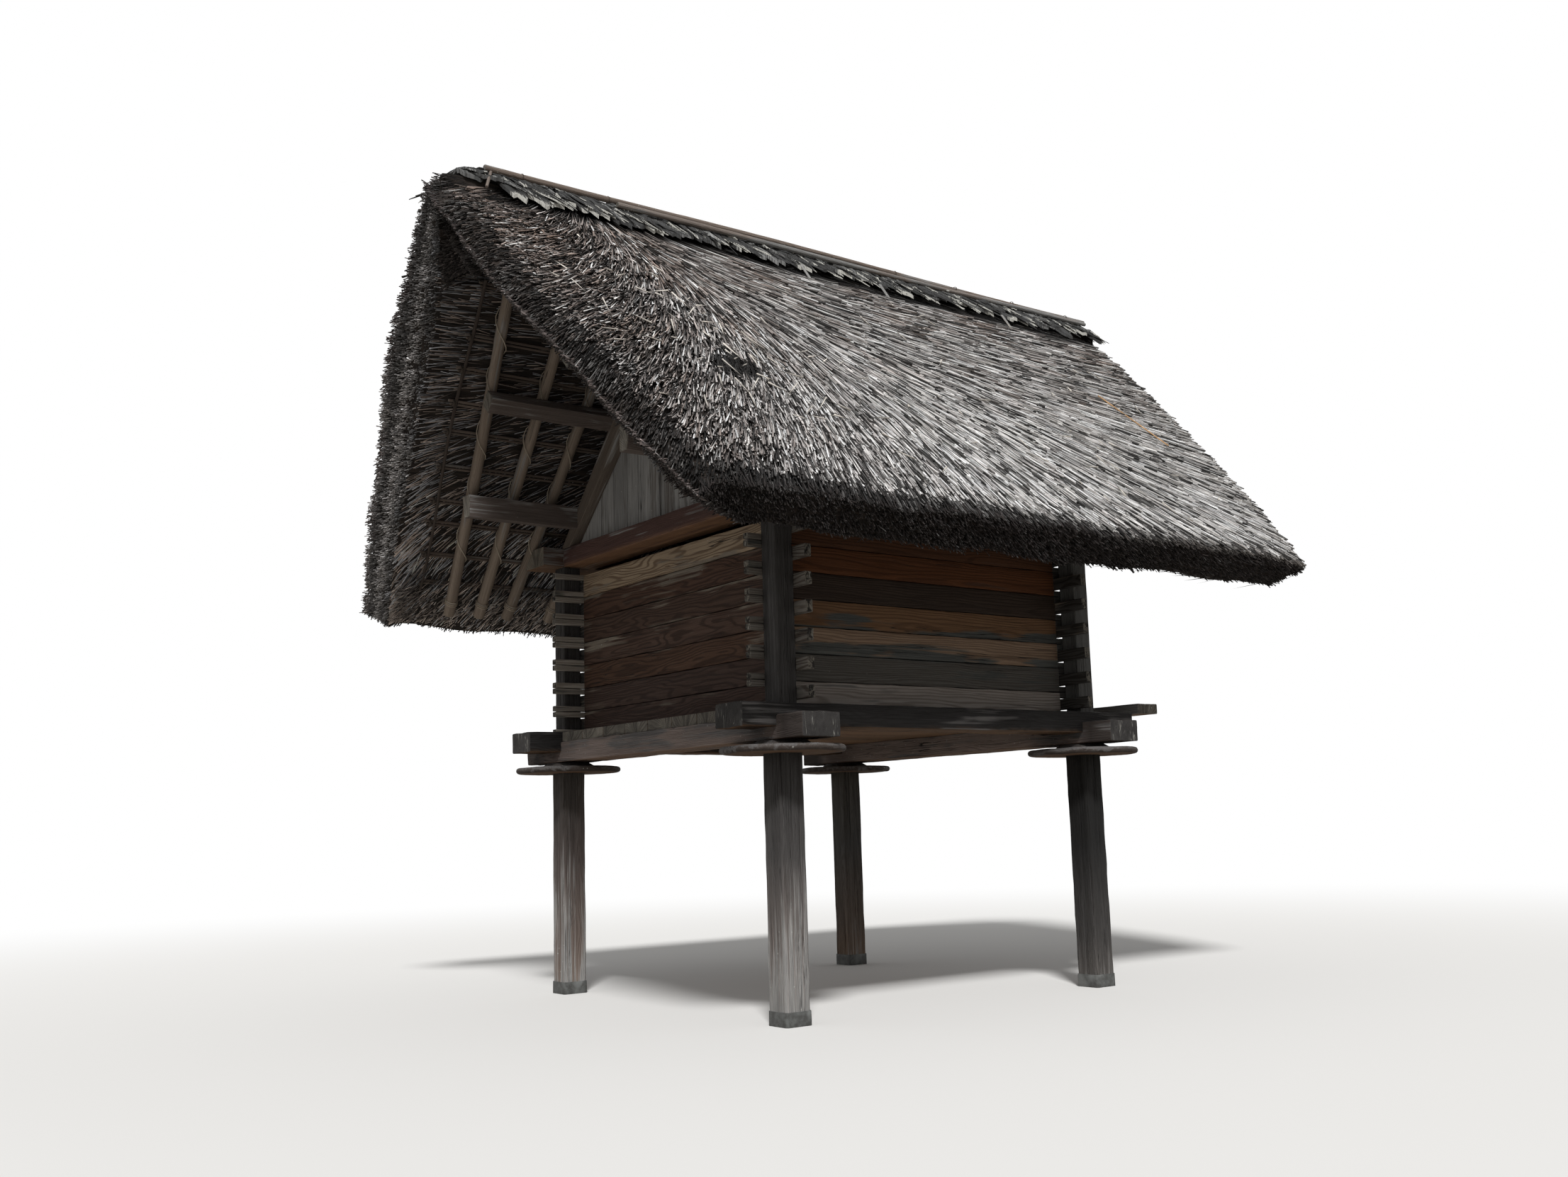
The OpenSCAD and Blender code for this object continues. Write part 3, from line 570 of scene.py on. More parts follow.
# %% Wood recipe
def wood(name, ring_step=0.007, ring_share=0.5, crack_share=0.5, speck_share=0.3, silver=SILVER,
         end_pale=END_PALE, hollow=0.0, swirl=0.11, spokes_share=0.6, patchy=0.30, bump=0.0035):
    """Weathered wood. Rings are the sine of the distance from the pith, bent by
    a slow noise. Cracks are the thin lines where a noise drawn out along the
    grain passes through its middle. The silver skin comes and goes with a
    broad noise and "grey"."""
    f = Finish(name, WOOD_ROUGH)
    grain, paint, tone = f.read("grain", "Vector"), f.read("paint", "Color"), f.read("tone")
    grey, cut = f.read("grey"), f.read("cut")
    slow = f.vector("SUBTRACT", f.drawn(grain, (0.9, 5, 5), part="Color"), (0.5, 0.5, 0.5))
    bent = f.scale(f.vector("ADD", grain, f.vector("SCALE", slow, scale=swirl)), ACROSS)
    rings = f.ease(f.math("SINE", f.times(f.vector("LENGTH", bent), 2 * math.pi / ring_step)), -0.3, 1.0)
    fibre = f.drawn(grain, (3.0, 170, 170), 3.0, 0.6)
    patch = f.drawn(grain, (1.1, 4.5, 4.5), 3.0, 0.6)
    rare = f.ease(f.drawn(grain, (0.7, 9, 9)), 0.62 - 0.2 * crack_share, 0.72)
    crack = f.times(f.line(f.drawn(grain, (1.3, 60, 60), 1.0, 0.4), 0.004, 0.022), rare)
    crack = f.times(crack, f.math("SUBTRACT", 1.0, cut))
    spoke = f.line(f.drawn(f.vector("NORMALIZE", bent), (1, 9, 9), 3.0, 0.6), 0.006, 0.03)
    colour = side_colour(f, grain, grey, paint, rings, fibre, patch, silver, ring_share, patchy)
    end = end_colour(f, grain, rings, patch, f.times(spoke, spokes_share), end_pale, hollow)
    colour = f.shaded(f.mix(cut, colour, end), f.ease(tone, 0.0, 1.0, 0.82, 1.2))
    colour = f.mix(lichen_spots(f, grey, speck_share), colour, LICHEN)
    colour = f.mix(crack, colour, CRACK)
    height = f.math("MULTIPLY_ADD", fibre, 0.9, f.times(rings, -0.35))
    height = f.math("MULTIPLY_ADD", crack, -1.6, height)
    f.bump(f.math("MULTIPLY_ADD", f.times(spoke, cut), -1.2 * spokes_share, height), bump)
    return f.finish(colour, f.ease(fibre, 0.2, 0.8, WOOD_ROUGH - 0.14, WOOD_ROUGH + 0.08))


post_wood = wood("post_wood", crack_share=1.0, ring_share=0.35, silver=(0.40, 0.39, 0.375), patchy=0.10,
                 bump=0.006)
guard_wood = wood("guard_wood", ring_share=0.45, speck_share=0.6, silver=(0.15, 0.14, 0.135))
# The beams' cut ends are painted dark, as painted shade under the eaves
beam_wood = wood("beam_wood", ring_share=0.45, crack_share=0.7, speck_share=0.7, silver=(0.17, 0.16, 0.155),
                 end_pale=(0.060, 0.056, 0.054), hollow=0.2, spokes_share=0.15, bump=0.005)
board_wood = wood("board_wood")
plank_wood = wood("plank_wood", ring_step=0.018, ring_share=0.6, crack_share=0.6, speck_share=0.1,
                  silver=(0.085, 0.088, 0.082), hollow=0.9)
cross_wood = wood("cross_wood", ring_step=0.030, ring_share=1.0, crack_share=0.8, speck_share=0.1,
                  silver=(0.23, 0.195, 0.155), hollow=0.9, swirl=0.36)
plate_wood = wood("plate_wood", ring_share=0.4, speck_share=0.5, end_pale=(0.33, 0.29, 0.235))
grey_boards = wood("grey_boards", ring_step=0.012, ring_share=0.6, crack_share=0.9)
roof_timber = wood("roof_timber", ring_share=0.4, crack_share=0.6)
pole_wood = wood("pole_wood", ring_share=0.15, bump=0.002)
cane = wood("cane", ring_share=0.1, crack_share=0.2, bump=0.0015)
ridge_pole_wood = wood("ridge_pole_wood", ring_share=0.2, crack_share=0.8, speck_share=0.5)
print("materials", len(bpy.data.materials))

# %% [markdown]
# ## Posts
#
# Each post is one trunk, thick below the guard and slender above, where it
# passes through the beams and the corners of the walls. It is bleached at the
# foot and darker upwards, partly by weather and partly by painted shade under
# the guard and the roof, most of all on the front right post. Long drying
# cracks run down it. A bump map could draw them, but close by they have depth,
# so they are part of the mesh.

# %% Posts
CENTRE_X = -0.11
HALF_X, HALF_Y = 1.55, 1.57
POST, SHAFT = 0.21, 0.165
GUARD_Z = 1.86
PLATE_Z = 3.6705
SLOPES, GABLES = (("front", -1), ("back", 1)), (("left", -1), ("right", 1))
corners = {"post_front_left": (-1, -1), "post_front_right": (1, -1),
           "post_back_left": (-1, 1), "post_back_right": (1, 1)}
feet = {name: np.array([CENTRE_X + sx * HALF_X, sy * HALF_Y, 0.0]) for name, (sx, sy) in corners.items()}


def post_ring(width, chamfer, step):
    """Square section with cut corners."""
    w, c = width / 2, chamfer
    return outline([(-w + c, -w), (w - c, -w), (w, -w + c), (w, w - c),
                    (w - c, w), (-w + c, w), (-w, w - c), (-w, -w + c)], 0.004, step)


# Four heights as shares of the thick part, and each post's greyness, red, green and blue there;
# the colours darken upwards partly by weather and partly as painted shade under the guard and
# the roof, and the front right post is painted darkest, as painted shade
POST_AT = (0.0, 0.2, 0.62, 1.0)
POST_LOOK_AND_SHADE = {
    "post_front_left": ((0.92, 0.38, 0.34, 0.32), (0.64, 0.25, 0.225, 0.215),
                        (0.14, 0.078, 0.076, 0.076), (0.0, 0.050, 0.049, 0.049)),
    "post_back_left": ((0.80, 0.30, 0.245, 0.21), (0.54, 0.20, 0.165, 0.148),
                       (0.32, 0.098, 0.083, 0.078), (0.0, 0.075, 0.071, 0.066)),
    "post_front_right": ((0.42, 0.155, 0.148, 0.142), (0.05, 0.070, 0.068, 0.067),
                         (-0.24, 0.013, 0.013, 0.013), (-0.2, 0.015, 0.015, 0.014)),
    "post_back_right": ((0.40, 0.25, 0.18, 0.13), (0.25, 0.16, 0.13, 0.11),
                        (0.12, 0.082, 0.083, 0.082), (0.0, 0.062, 0.058, 0.05))}
# The shafts on the right are painted lighter, as painted light to make up for the shade they stand in
SHAFT_LEFT, SHAFT_RIGHT_PAINTED_LIGHT = (0.066, 0.065, 0.065), (0.15, 0.155, 0.155)
UP, ALONG_X = np.array([0, 0, 1]), (1, 0, 0)

for k, (name, (sx, sy)) in enumerate(corners.items()):
    foot = feet[name]
    batch = Batch()
    bar(batch, foot, foot + UP * GUARD_Z, post_ring(POST, 0.014, 0.0065), 100 + k, side=ALONG_X,
        wear=0.0035, grooves=30, groove_depth=0.011, step=0.08, tone=0.5)
    high = np.clip(batch.points[-1][:, 2] / GUARD_Z, 0, 1)
    look = np.array(POST_LOOK_AND_SHADE[name])
    batch.values[-1][:, GREY] = np.interp(high, POST_AT, look[:, 0])
    batch.values[-1][:, PAINT] = np.stack([np.interp(high, POST_AT, c) for c in look[:, 1:].T], -1)
    bar(batch, foot + UP * (GUARD_Z - 0.02), foot + UP * (PLATE_Z - 0.002), post_ring(SHAFT, 0.008, 0.0065),
        120 + k, side=ALONG_X, wear=0.003, grooves=26, groove_depth=0.010, step=0.08, grey=0.16, tone=0.2,
        paint=SHAFT_LEFT if sx < 0 else SHAFT_RIGHT_PAINTED_LIGHT)
    batch.build(name.replace("post", "post_trunk"), post_wood, "post_wood", (name,))

# %% [markdown]
# ## Foot sleeves
#
# A dull metal sleeve is folded round each foot. It is a thin wall that
# follows the post's cut corners. A Solidify modifier could
# give it the wall, but the two rings of the wall are as easy to sweep.

# %% Foot sleeves
SLEEVE_DARK, SLEEVE_MID, SLEEVE_PALE = (0.075, 0.075, 0.072), (0.13, 0.135, 0.13), (0.16, 0.165, 0.16)
sleeve = Finish("foot_metal", 0.55)
spot = sleeve.noise(sleeve.place(), 26.0, 4.0, 0.65)
broad = sleeve.noise(sleeve.place(), 7.0, 3.0, 0.5)
tint = sleeve.mix(sleeve.ease(spot, 0.35, 0.7), SLEEVE_DARK, SLEEVE_MID)
tint = sleeve.mix(sleeve.ease(broad, 0.5, 0.68), tint, SLEEVE_PALE)
sleeve.bump(spot, 0.0015)
foot_metal = sleeve.finish(tint, sleeve.ease(spot, 0.3, 0.7, 0.45, 0.8))
SLEEVE_H, SLEEVE_T, SLEEVE_ROOM, SLEEVE_SWELL = 0.1, 0.003, 0.0045, 0.012
# Heights of the rings, and how far each swells, as a share of SLEEVE_SWELL
SLEEVE_ROWS = np.array([[0.0, 0.0], [0.001, 0.3], [0.03, 0.6], [0.065, 0.2], [SLEEVE_H - 0.001, 0.0],
                        [SLEEVE_H, -0.6]])
batch = Batch()
for k, foot in enumerate(feet.values()):
    outer = post_ring(POST + 2 * SLEEVE_T + SLEEVE_ROOM, 0.013, 0.03)
    ring, rows = len(outer), len(SLEEVE_ROWS)
    z, share = np.repeat(SLEEVE_ROWS, ring, axis=0).T
    flat = np.column_stack([np.tile(outer, (rows, 1)) * (1 + share * SLEEVE_SWELL)[:, None], z])
    flat[:, :2] += (ripple(flat, 0.06, 300 + k) * 0.0008)[:, None]
    inner = flat.copy()
    inner[:, :2] *= 1 - SLEEVE_T / (POST / 2)
    quads, _ = sweep_faces(rows, ring)
    j = np.arange(ring)
    n, m = (j + 1) % ring, len(flat)
    top, last = (rows - 1) * ring, m + (rows - 1) * ring
    rim = np.stack([top + j, top + n, last + n, last + j], -1)
    base = np.stack([j, m + j, m + n, n], -1)
    both = np.concatenate([flat, inner]) + foot
    batch.add(both, np.concatenate([quads, quads[:, ::-1] + m, rim, base]), both - foot)
batch.build("foot_sleeves", foot_metal, "foot_metal", ("foot_bands",))

# %% [markdown]
# ## Rat guards
#
# A guard is a wide round disc on top of the thick part of the post, so no
# mouse can climb past it. The disc is a profile turned about the post. The
# Screw modifier could turn it, but then the chipped rim and the low hub,
# which are never quite level, would need a second step.

# %% Guards
GUARD_R, GUARD_T, HUB_H = 0.45, 0.05, 0.04
GUARD_UNDER = np.array([0.13, 0.078, 0.045])
GUARD_RIM = np.array([0.055, 0.044, 0.039])
GUARD_TOP = np.array([0.10, 0.09, 0.083])


def guard_profile():
    """(radius, height) from the underside middle, round the rim, to the top of the hub."""
    turn = np.linspace(-math.pi / 2, math.pi / 2, 7)
    rim = np.stack([GUARD_R - GUARD_T / 2 + np.cos(turn) * GUARD_T / 2,
                    GUARD_T / 2 + np.sin(turn) * GUARD_T / 2], -1)
    under = np.array([[0.09, 0.0], [0.15, 0.0], [0.22, 0.0], [0.29, 0.0], [0.36, 0.0]])
    hub = np.array([[0.36, GUARD_T], [0.30, GUARD_T], [0.243, GUARD_T], [0.176, GUARD_T + HUB_H - 0.001],
                    [0.13, GUARD_T + HUB_H - 0.001], [0.085, GUARD_T + HUB_H - 0.001]])
    return np.concatenate([under, rim, hub])


def turned(profile, count):
    """Points of the profile carried round the upright axis, and quads between them, closed into a ring."""
    turn = np.arange(count) * 2 * math.pi / count
    r, z = profile[:, 0], profile[:, 1]
    pts = np.stack([np.outer(np.cos(turn), r), np.outer(np.sin(turn), r),
                    np.broadcast_to(z, (count, len(r)))], -1).reshape(-1, 3)
    i, j = np.meshgrid(np.arange(count), np.arange(len(r)), indexing="ij")
    i2, j2 = (i + 1) % count, (j + 1) % len(r)
    quads = np.stack([i * len(r) + j, i2 * len(r) + j, i2 * len(r) + j2, i * len(r) + j2], -1)
    return pts, quads.reshape(-1, 4)


for k, (name, foot) in enumerate(feet.items()):
    pts, quads = turned(guard_profile(), 112)
    radius = np.hypot(pts[:, 0], pts[:, 1])
    outer = np.clip((radius - 0.3) / 0.15, 0, 1)
    chips = np.clip(ripple(pts, 0.09, 400 + k, 9) - 0.55, 0, 1) * 0.03 + ripple(pts, 0.25, 410 + k) * 0.0025
    scale = 1 - outer * chips / np.maximum(radius, 0.05)
    shaped = pts * np.stack([scale, scale, np.ones_like(scale)], -1)
    shaped[:, 2] += ripple(pts[:, :2], 0.3, 420 + k) * 0.002 * outer + ripple(pts, 0.05, 430 + k) * 0.0006
    turn = 0.4 + 1.3 * k
    cosine, sine = math.cos(turn), math.sin(turn)
    grain = np.stack([pts[:, 0] * cosine + pts[:, 1] * sine + 7 * k,
                      -pts[:, 0] * sine + pts[:, 1] * cosine, pts[:, 2] + 0.11], -1)
    rim = np.clip((radius - 0.41) / 0.03, 0, 1)[:, None]
    above = np.clip((pts[:, 2] - 0.02) / 0.02, 0, 1)[:, None]
    paint = GUARD_UNDER * (1 - rim) + GUARD_RIM * rim
    paint = paint * (1 - above) + GUARD_TOP * above
    grey = np.clip(0.08 + 0.34 * rim[:, 0] + 0.45 * above[:, 0], 0, 1)
    batch = Batch()
    batch.add(shaped + (foot + UP * GUARD_Z), quads, grain, 0.5, grey, 0.0, paint)
    batch.build(name.replace("post", "guard_disc"), guard_wood, "guard_wood",
                (name.replace("post", "rat_guard"),), sharp=50)

# %% [markdown]
# ## Floor beams
#
# Heavy beams run both ways and are halved over each other at the posts.
# Their far ends stick out, cracked and darker than the rest, and their cut ends
# are painted dark, as painted shade under the eaves. Underneath they keep the
# warm colour of wood that rain never reached. One material could blend the two
# by the way a face looks, but then worn edges would change colour too, so the
# colour is worked out by height and kept in the mesh.

# %% Floor timber
BEAM_W, BEAM_H, BEAM_OVER = 0.33, 0.17, 0.458
BEAM_Z = 1.95
CROSS_Z = BEAM_Z + BEAM_H / 2
FLOOR_Z = CROSS_Z + BEAM_H
BEAM_TOP = np.array([0.245, 0.205, 0.190])
BEAM_DARK = np.array([0.019, 0.018, 0.018])
WARM = np.array([0.21, 0.125, 0.07])
# The band over which the warm colour gives way, as a share of the height
WARM_BAND = 0.09


def beam(batch, start, end, ring, seed, side, low=WARM, high=BEAM_TOP, high_grey=0.42, **more):
    """A bar that is warm below and weathered on its other faces."""
    bar(batch, start, end, ring, seed, side=side, **more)
    z = batch.points[-1][:, 2]
    up = np.clip((z - z.min()) / max(np.ptp(z), 1e-6) / WARM_BAND, 0, 1)[:, None]
    values = batch.values[-1]
    values[:, PAINT] = low * (1 - up) + high * up
    values[:, GREY] = high_grey * up[:, 0]


BEAM_RING = rectangle(BEAM_W, BEAM_H, 0.010, 0.03)
BEAM_MAKE = dict(wear=0.006, grooves=18, groove_depth=0.007, step=0.07, round_over=0.006)
for k, (name, sx) in enumerate(GABLES):
    batch = Batch()
    x, z = CENTRE_X + sx * HALF_X, BEAM_Z + BEAM_H / 2
    reach = HALF_Y + BEAM_OVER
    beam(batch, (x, -reach, z), (x, reach, z), BEAM_RING, 500 + k, (-1, 0, 0), tone=0.45, **BEAM_MAKE)
    past = np.clip((np.abs(batch.points[-1][:, 1]) - HALF_Y - 0.1) / 0.1, 0, 1)[:, None]
    batch.values[-1][:, PAINT] *= 1 - 0.78 * past
    batch.values[-1][:, GREY] -= 0.25 * past[:, 0]
    batch.build(f"cross_beam_{name}", beam_wood, "beam_wood", (f"floor_beam_{name}",), sharp=SAWN)
for k, (name, sy) in enumerate(SLOPES):
    batch = Batch()
    y, z = sy * HALF_Y, CROSS_Z + BEAM_H / 2
    reach = HALF_X + BEAM_OVER
    beam(batch, (CENTRE_X - reach, y, z), (CENTRE_X + reach, y, z), BEAM_RING, 510 + k, (0, 1, 0),
         high=BEAM_DARK, high_grey=0.22, tone=0.4, **BEAM_MAKE)
    batch.build(f"long_beam_{name}", beam_wood, "beam_wood", (f"floor_beam_{name}",), sharp=SAWN)

# %% [markdown]
# ## Floor boards and landing
#
# Boards lie on the cross beams. Two of them run on past the gable and bear
# the plank that people step on. All are the same swept bar, so a loop with
# one question, whether this board is a bearer, is enough.

# %% Boards and landing
BOARDS = 8
BOARD_T = BEAM_H / 2
LAND_W, LAND_LEN, LAND_GAP = 0.25, 3.47, 0.075
BOARD_LOW, BOARD_HIGH = np.array([0.24, 0.145, 0.085]), np.array([0.16, 0.12, 0.09])
BOARD_IN = BEAM_W / 2 - 0.016
room = 2 * (HALF_Y - BEAM_W / 2)
board_w = room / BOARDS
batch = Batch()
for i in range(BOARDS):
    bearer = i in (BOARDS // 4, BOARDS - 1 - BOARDS // 4)
    x0 = CENTRE_X - HALF_X - BOARD_IN
    x1 = CENTRE_X + HALF_X + (BEAM_OVER + LAND_GAP + LAND_W - 0.003 if bearer else BOARD_IN)
    y, z = -room / 2 + (i + 0.5) * board_w, FLOOR_Z - BOARD_T / 2
    beam(batch, (x0, y, z), (x1, y, z), rectangle(board_w - 0.004, BOARD_T - 0.001, 0.004, 0.06), 520 + i,
         (0, 1, 0), low=BOARD_LOW, high=BOARD_HIGH, high_grey=0.2, wear=0.002, step=0.2)
batch.build("floor_planks", board_wood, "board_wood", ("floor_boards",))
batch = Batch()
x = CENTRE_X + HALF_X + BEAM_OVER + LAND_GAP + LAND_W / 2
z = FLOOR_Z + BOARD_T / 2
beam(batch, (x, -LAND_LEN / 2, z), (x, LAND_LEN / 2, z), rectangle(LAND_W, BOARD_T - 0.001, 0.008, 0.03), 530,
     (-1, 0, 0), wear=0.004, grooves=10, step=0.08, high_grey=0.55)
batch.build("landing", board_wood, "board_wood", ("landing_plank",), sharp=SAWN)

# %% [markdown]
# ## Plank walls
#
# The walls are broad planks stacked on edge. At each corner a plank of the
# long wall is forked and a plank of the gable wall has one tongue that sits
# in the fork, inside the square of the post. Cutting the fork with a Boolean
# would spoil the even rows of points, so body, fork and tongue are bars of
# their own that share one piece of grain. Colours run from dark brown to
# silver, plank by plank.

# %% Planks
PLANK_H, PLANK_T, PLANKS, FIRST_CUT = 0.2025, 0.06, 7, 0.021
TAIL_X, TAIL_Y, NOTCH = 0.115, 0.135, 0.002
WALL_X, WALL_Y = HALF_X - SHAFT / 2, HALF_Y - SHAFT / 2
SEAM, STAIN = 0.0055, 0.11
# The back wall's tails at the left are painted lighter, as painted light to make up for the shade they stand
# in
TAIL_LIT, TAIL_FAR_PAINTED_LIGHT, TAIL_DARK = (0.18, 0.17, 0.155), (0.34, 0.32, 0.29), (0.048, 0.047, 0.045)
# From the lowest plank up: colour, greyness and how strongly its lower edge is stained
LONG_LOOK = [((0.235, 0.215, 0.200), 0.10, 0.0), ((0.098, 0.094, 0.086), 0.30, 0.0),
             ((0.225, 0.158, 0.110), 0.06, 0.80), ((0.170, 0.096, 0.050), 0.03, 0.80),
             ((0.040, 0.027, 0.020), 0.0, 0.1), ((0.098, 0.037, 0.014), -0.1, 0.1),
             ((0.070, 0.030, 0.014), -0.1, 0.1)]
# The same for the gable walls, where the upper edge is bleached
CROSS_LOOK = [((0.060, 0.037, 0.030), 0.02, 0.25), ((0.056, 0.035, 0.028), 0.02, 0.30),
              ((0.080, 0.044, 0.028), 0.02, 0.35), ((0.072, 0.044, 0.033), 0.10, 0.45),
              ((0.066, 0.040, 0.029), 0.10, 0.50), ((0.078, 0.042, 0.028), 0.08, 0.55),
              ((0.30, 0.235, 0.165), 0.22, 0.2)]


def plank(batch, z0, z1, low, half, full, look, seed, across, tongues, tails):
    """One plank about the middle of the room, along `across`, with its end pieces.

    tongues lists (bottom, top) of each end piece above low, in metres, and
    tails gives their colour at the first and the last end. The stain fades
    away from one edge of the plank: greyness grows by edge * (1 - distance /
    0.11), and the finish breaks its border up."""
    paint, grey, edge = look
    r = np.random.default_rng(seed)
    along = np.asarray(across, float)
    side = np.array([-along[1], along[0], 0.0])
    place = (r.uniform(0, 40), r.uniform(-0.05, 0.05), r.uniform(0.02, 0.10))
    middle = np.array([CENTRE_X, 0.0, 0.0])
    spans = [(-full, full, z0, z1)]
    for bottom, top in tongues:
        b, t = max(low + bottom, z0), low + top
        spans += [(-half, -full + 0.004, b, t), (full - 0.004, half, b, t)]
    tone = r.uniform(0.2, 0.8)
    for n, (a, b, c, d) in enumerate(spans):
        rise = UP * (c + d) / 2
        shift = (place[0] + a, place[1], place[2] + (c + d) / 2 - (z0 + z1) / 2)
        tip = dict(paint=paint, grey=grey) if n == 0 else dict(paint=tails[n % 2 == 0], grey=0.25)
        bar(batch, middle + along * a + rise, middle + along * b + rise,
            rectangle(PLANK_T, d - c - SEAM, 0.007, 0.03), seed + n, side=side,
            wear=0.0035 if n == 0 else 0.002, step=0.08, tone=tone, place=shift, **tip)
        if n == 0:
            p = batch.points[-1]
            far = p[:, 2] - z0 if along[0] > 0 else z1 - p[:, 2]
            far = far + 0.035 * ripple(p, 0.5, seed + 7, 4)
            batch.values[-1][:, GREY] += edge * np.clip(1 - far / STAIN, 0, 1)


print("planks in a wall", PLANKS)


# %% Stack the walls
def wall(name, sign, long_way, node_name):
    """A stack of planks from the floor up, then moved to its side of the room."""
    batch = Batch()
    q = PLANK_H / 4
    for i in range(PLANKS):
        low = FLOOR_Z - FIRST_CUT + i * PLANK_H
        z0, z1 = max(low, FLOOR_Z), low + PLANK_H
        if long_way:
            plank(batch, z0, z1, low, HALF_X + SHAFT / 2 + TAIL_X, WALL_X - PLANK_T, LONG_LOOK[i],
                  600 + 40 * i + (0 if sign < 0 else 13), (1, 0, 0), [(0, q), (3 * q, 4 * q)],
                  (TAIL_LIT if sign < 0 else TAIL_FAR_PAINTED_LIGHT, TAIL_DARK))
        else:
            plank(batch, z0, z1, low, HALF_Y + SHAFT / 2 + TAIL_Y, WALL_Y - PLANK_T, CROSS_LOOK[i],
                  900 + 40 * i + (0 if sign < 0 else 17), (0, 1, 0), [(q + NOTCH, 3 * q - NOTCH)],
                  (TAIL_LIT if sign < 0 else TAIL_DARK, TAIL_DARK))
    away = (0, sign * (WALL_Y - PLANK_T / 2), 0) if long_way else (sign * (WALL_X - PLANK_T / 2), 0, 0)
    batch.points = [p + away for p in batch.points]
    batch.build(name, plank_wood if long_way else cross_wood, "plank_wood", (node_name,))


wall("long_wall_front", -1, True, "front_wall")
wall("long_wall_back", 1, True, "back_wall")
wall("cross_wall_left", -1, False, "left_gable_wall")
wall("cross_wall_right", 1, False, "right_gable_wall")

# %% [markdown]
# ## Plates
#
# The eave plates are bevelled so that the roof poles lie flat on them, and
# they are halved over the gable plates. The bevel could be a modifier on one
# edge. As the outline has only five corners, it is simply one of them.

# %% Plates
PLATE_H, PLATE_OUT, BEVEL, PLATE_OVER, GABLE_PLATE_W = 0.165, 0.121, 0.135, 0.281, 0.312
RISE = 1.05
PLATE_TOP = PLATE_Z + PLATE_H
EDGE_Y = HALF_Y + PLATE_OUT
PLATE_RED = np.array([0.105, 0.058, 0.040])
TIE_LOW, TIE_HIGH = np.array([0.27, 0.15, 0.08]), np.array([0.075, 0.042, 0.036])
for k, (name, sy) in enumerate(SLOPES):
    inner = HALF_Y - SHAFT / 2
    mid = np.array([(inner + EDGE_Y) / 2, PLATE_H / 2])
    section = np.array([(inner, 0), (inner, PLATE_H), (EDGE_Y, PLATE_H),
                        (EDGE_Y + BEVEL, PLATE_H - RISE * BEVEL), (EDGE_Y + BEVEL, 0)]) - mid
    section[:, 0] *= sy
    section = section if sy < 0 else section[::-1]
    batch = Batch()
    reach = HALF_X + PLATE_OVER
    z = PLATE_Z + mid[1]
    beam(batch, (CENTRE_X - reach, sy * mid[0], z), (CENTRE_X + reach, sy * mid[0], z),
         outline(section, 0.008, 0.03), 1300 + k, (0, 1, 0), high=PLATE_RED, high_grey=0.3, wear=0.004,
         grooves=8, step=0.08)
    batch.build(f"plate_{name}", plate_wood, "plate_wood", (f"eave_plate_{name}",), sharp=SAWN)
for k, (name, sx) in enumerate(GABLES):
    batch = Batch()
    x, z = CENTRE_X + sx * (HALF_X + SHAFT / 2 - GABLE_PLATE_W / 2), PLATE_Z + PLATE_H / 2
    inner = HALF_Y - SHAFT / 2 - 0.001
    beam(batch, (x, -inner, z), (x, inner, z), rectangle(GABLE_PLATE_W, PLATE_H, 0.008, 0.03), 1310 + k,
         (-1, 0, 0), low=TIE_LOW, high=TIE_HIGH, high_grey=0.22, wear=0.004, grooves=8, step=0.08)
    for s in (-1, 1):
        z = PLATE_Z + PLATE_H / 4
        beam(batch, (x, s * inner, z), (x, s * (inner + SHAFT), z),
             rectangle(GABLE_PLATE_W, PLATE_H / 2 - 0.001, 0.006, 0.04), 1320 + k, (-s, 0, 0), high=PLATE_RED)
    batch.build(f"tie_{name}", plate_wood, "plate_wood", (f"gable_plate_{name}",))

# %% [markdown]
# ## Gable rafters and boards
#
# Two rafters lean together on each gable plate and hold a screen of upright
# grey boards, cut to the slope at their heads. The boards could be sawn from
# one panel, but real ones differ in width and colour, so each is swept from a
# level foot to a slanting head.

# %% Gable rafters and boards
UNDER_Z = PLATE_TOP + RISE * EDGE_Y
RAFTER_TOP = UNDER_Z - 1.315 * 0.130
RAFTER_H, RAFTER_T = 0.33, 0.092
FOOT = (RAFTER_TOP - PLATE_TOP) / RISE
FOOT_IN = (RAFTER_TOP - RAFTER_H - PLATE_TOP) / (0.882 * RISE)
SEAMS = np.array([-0.95, -0.75, -0.6, -0.45, -0.306, -0.171, -0.033, 0.015, 0.228, 0.339, 0.482, 0.619,
                  0.758, 0.95]) * HALF_Y
BOARD, THIN_BOARD = 0.03, 0.08 * HALF_Y
RAFTER_PAINT, BOARD_PAINT = (0.125, 0.105, 0.088), np.array([0.19, 0.185, 0.178])


def quad_ring(a, b, thick):
    """Outline that spans from point a to point b and is `thick` wide along X; both are (x, y, z)."""
    a, b = np.asarray(a, float), np.asarray(b, float)
    width = np.linalg.norm(b - a)
    across = (b - a) / width
    w, h = thick / 2, width / 2
    flat = outline([(-w, -h), (w, -h), (w, h), (-w, h)], 0.005, extras=(2, 8, 2, 8))
    return (a + b) / 2 + flat[:, :1] * np.array([1.0, 0, 0]) + flat[:, 1:] * across


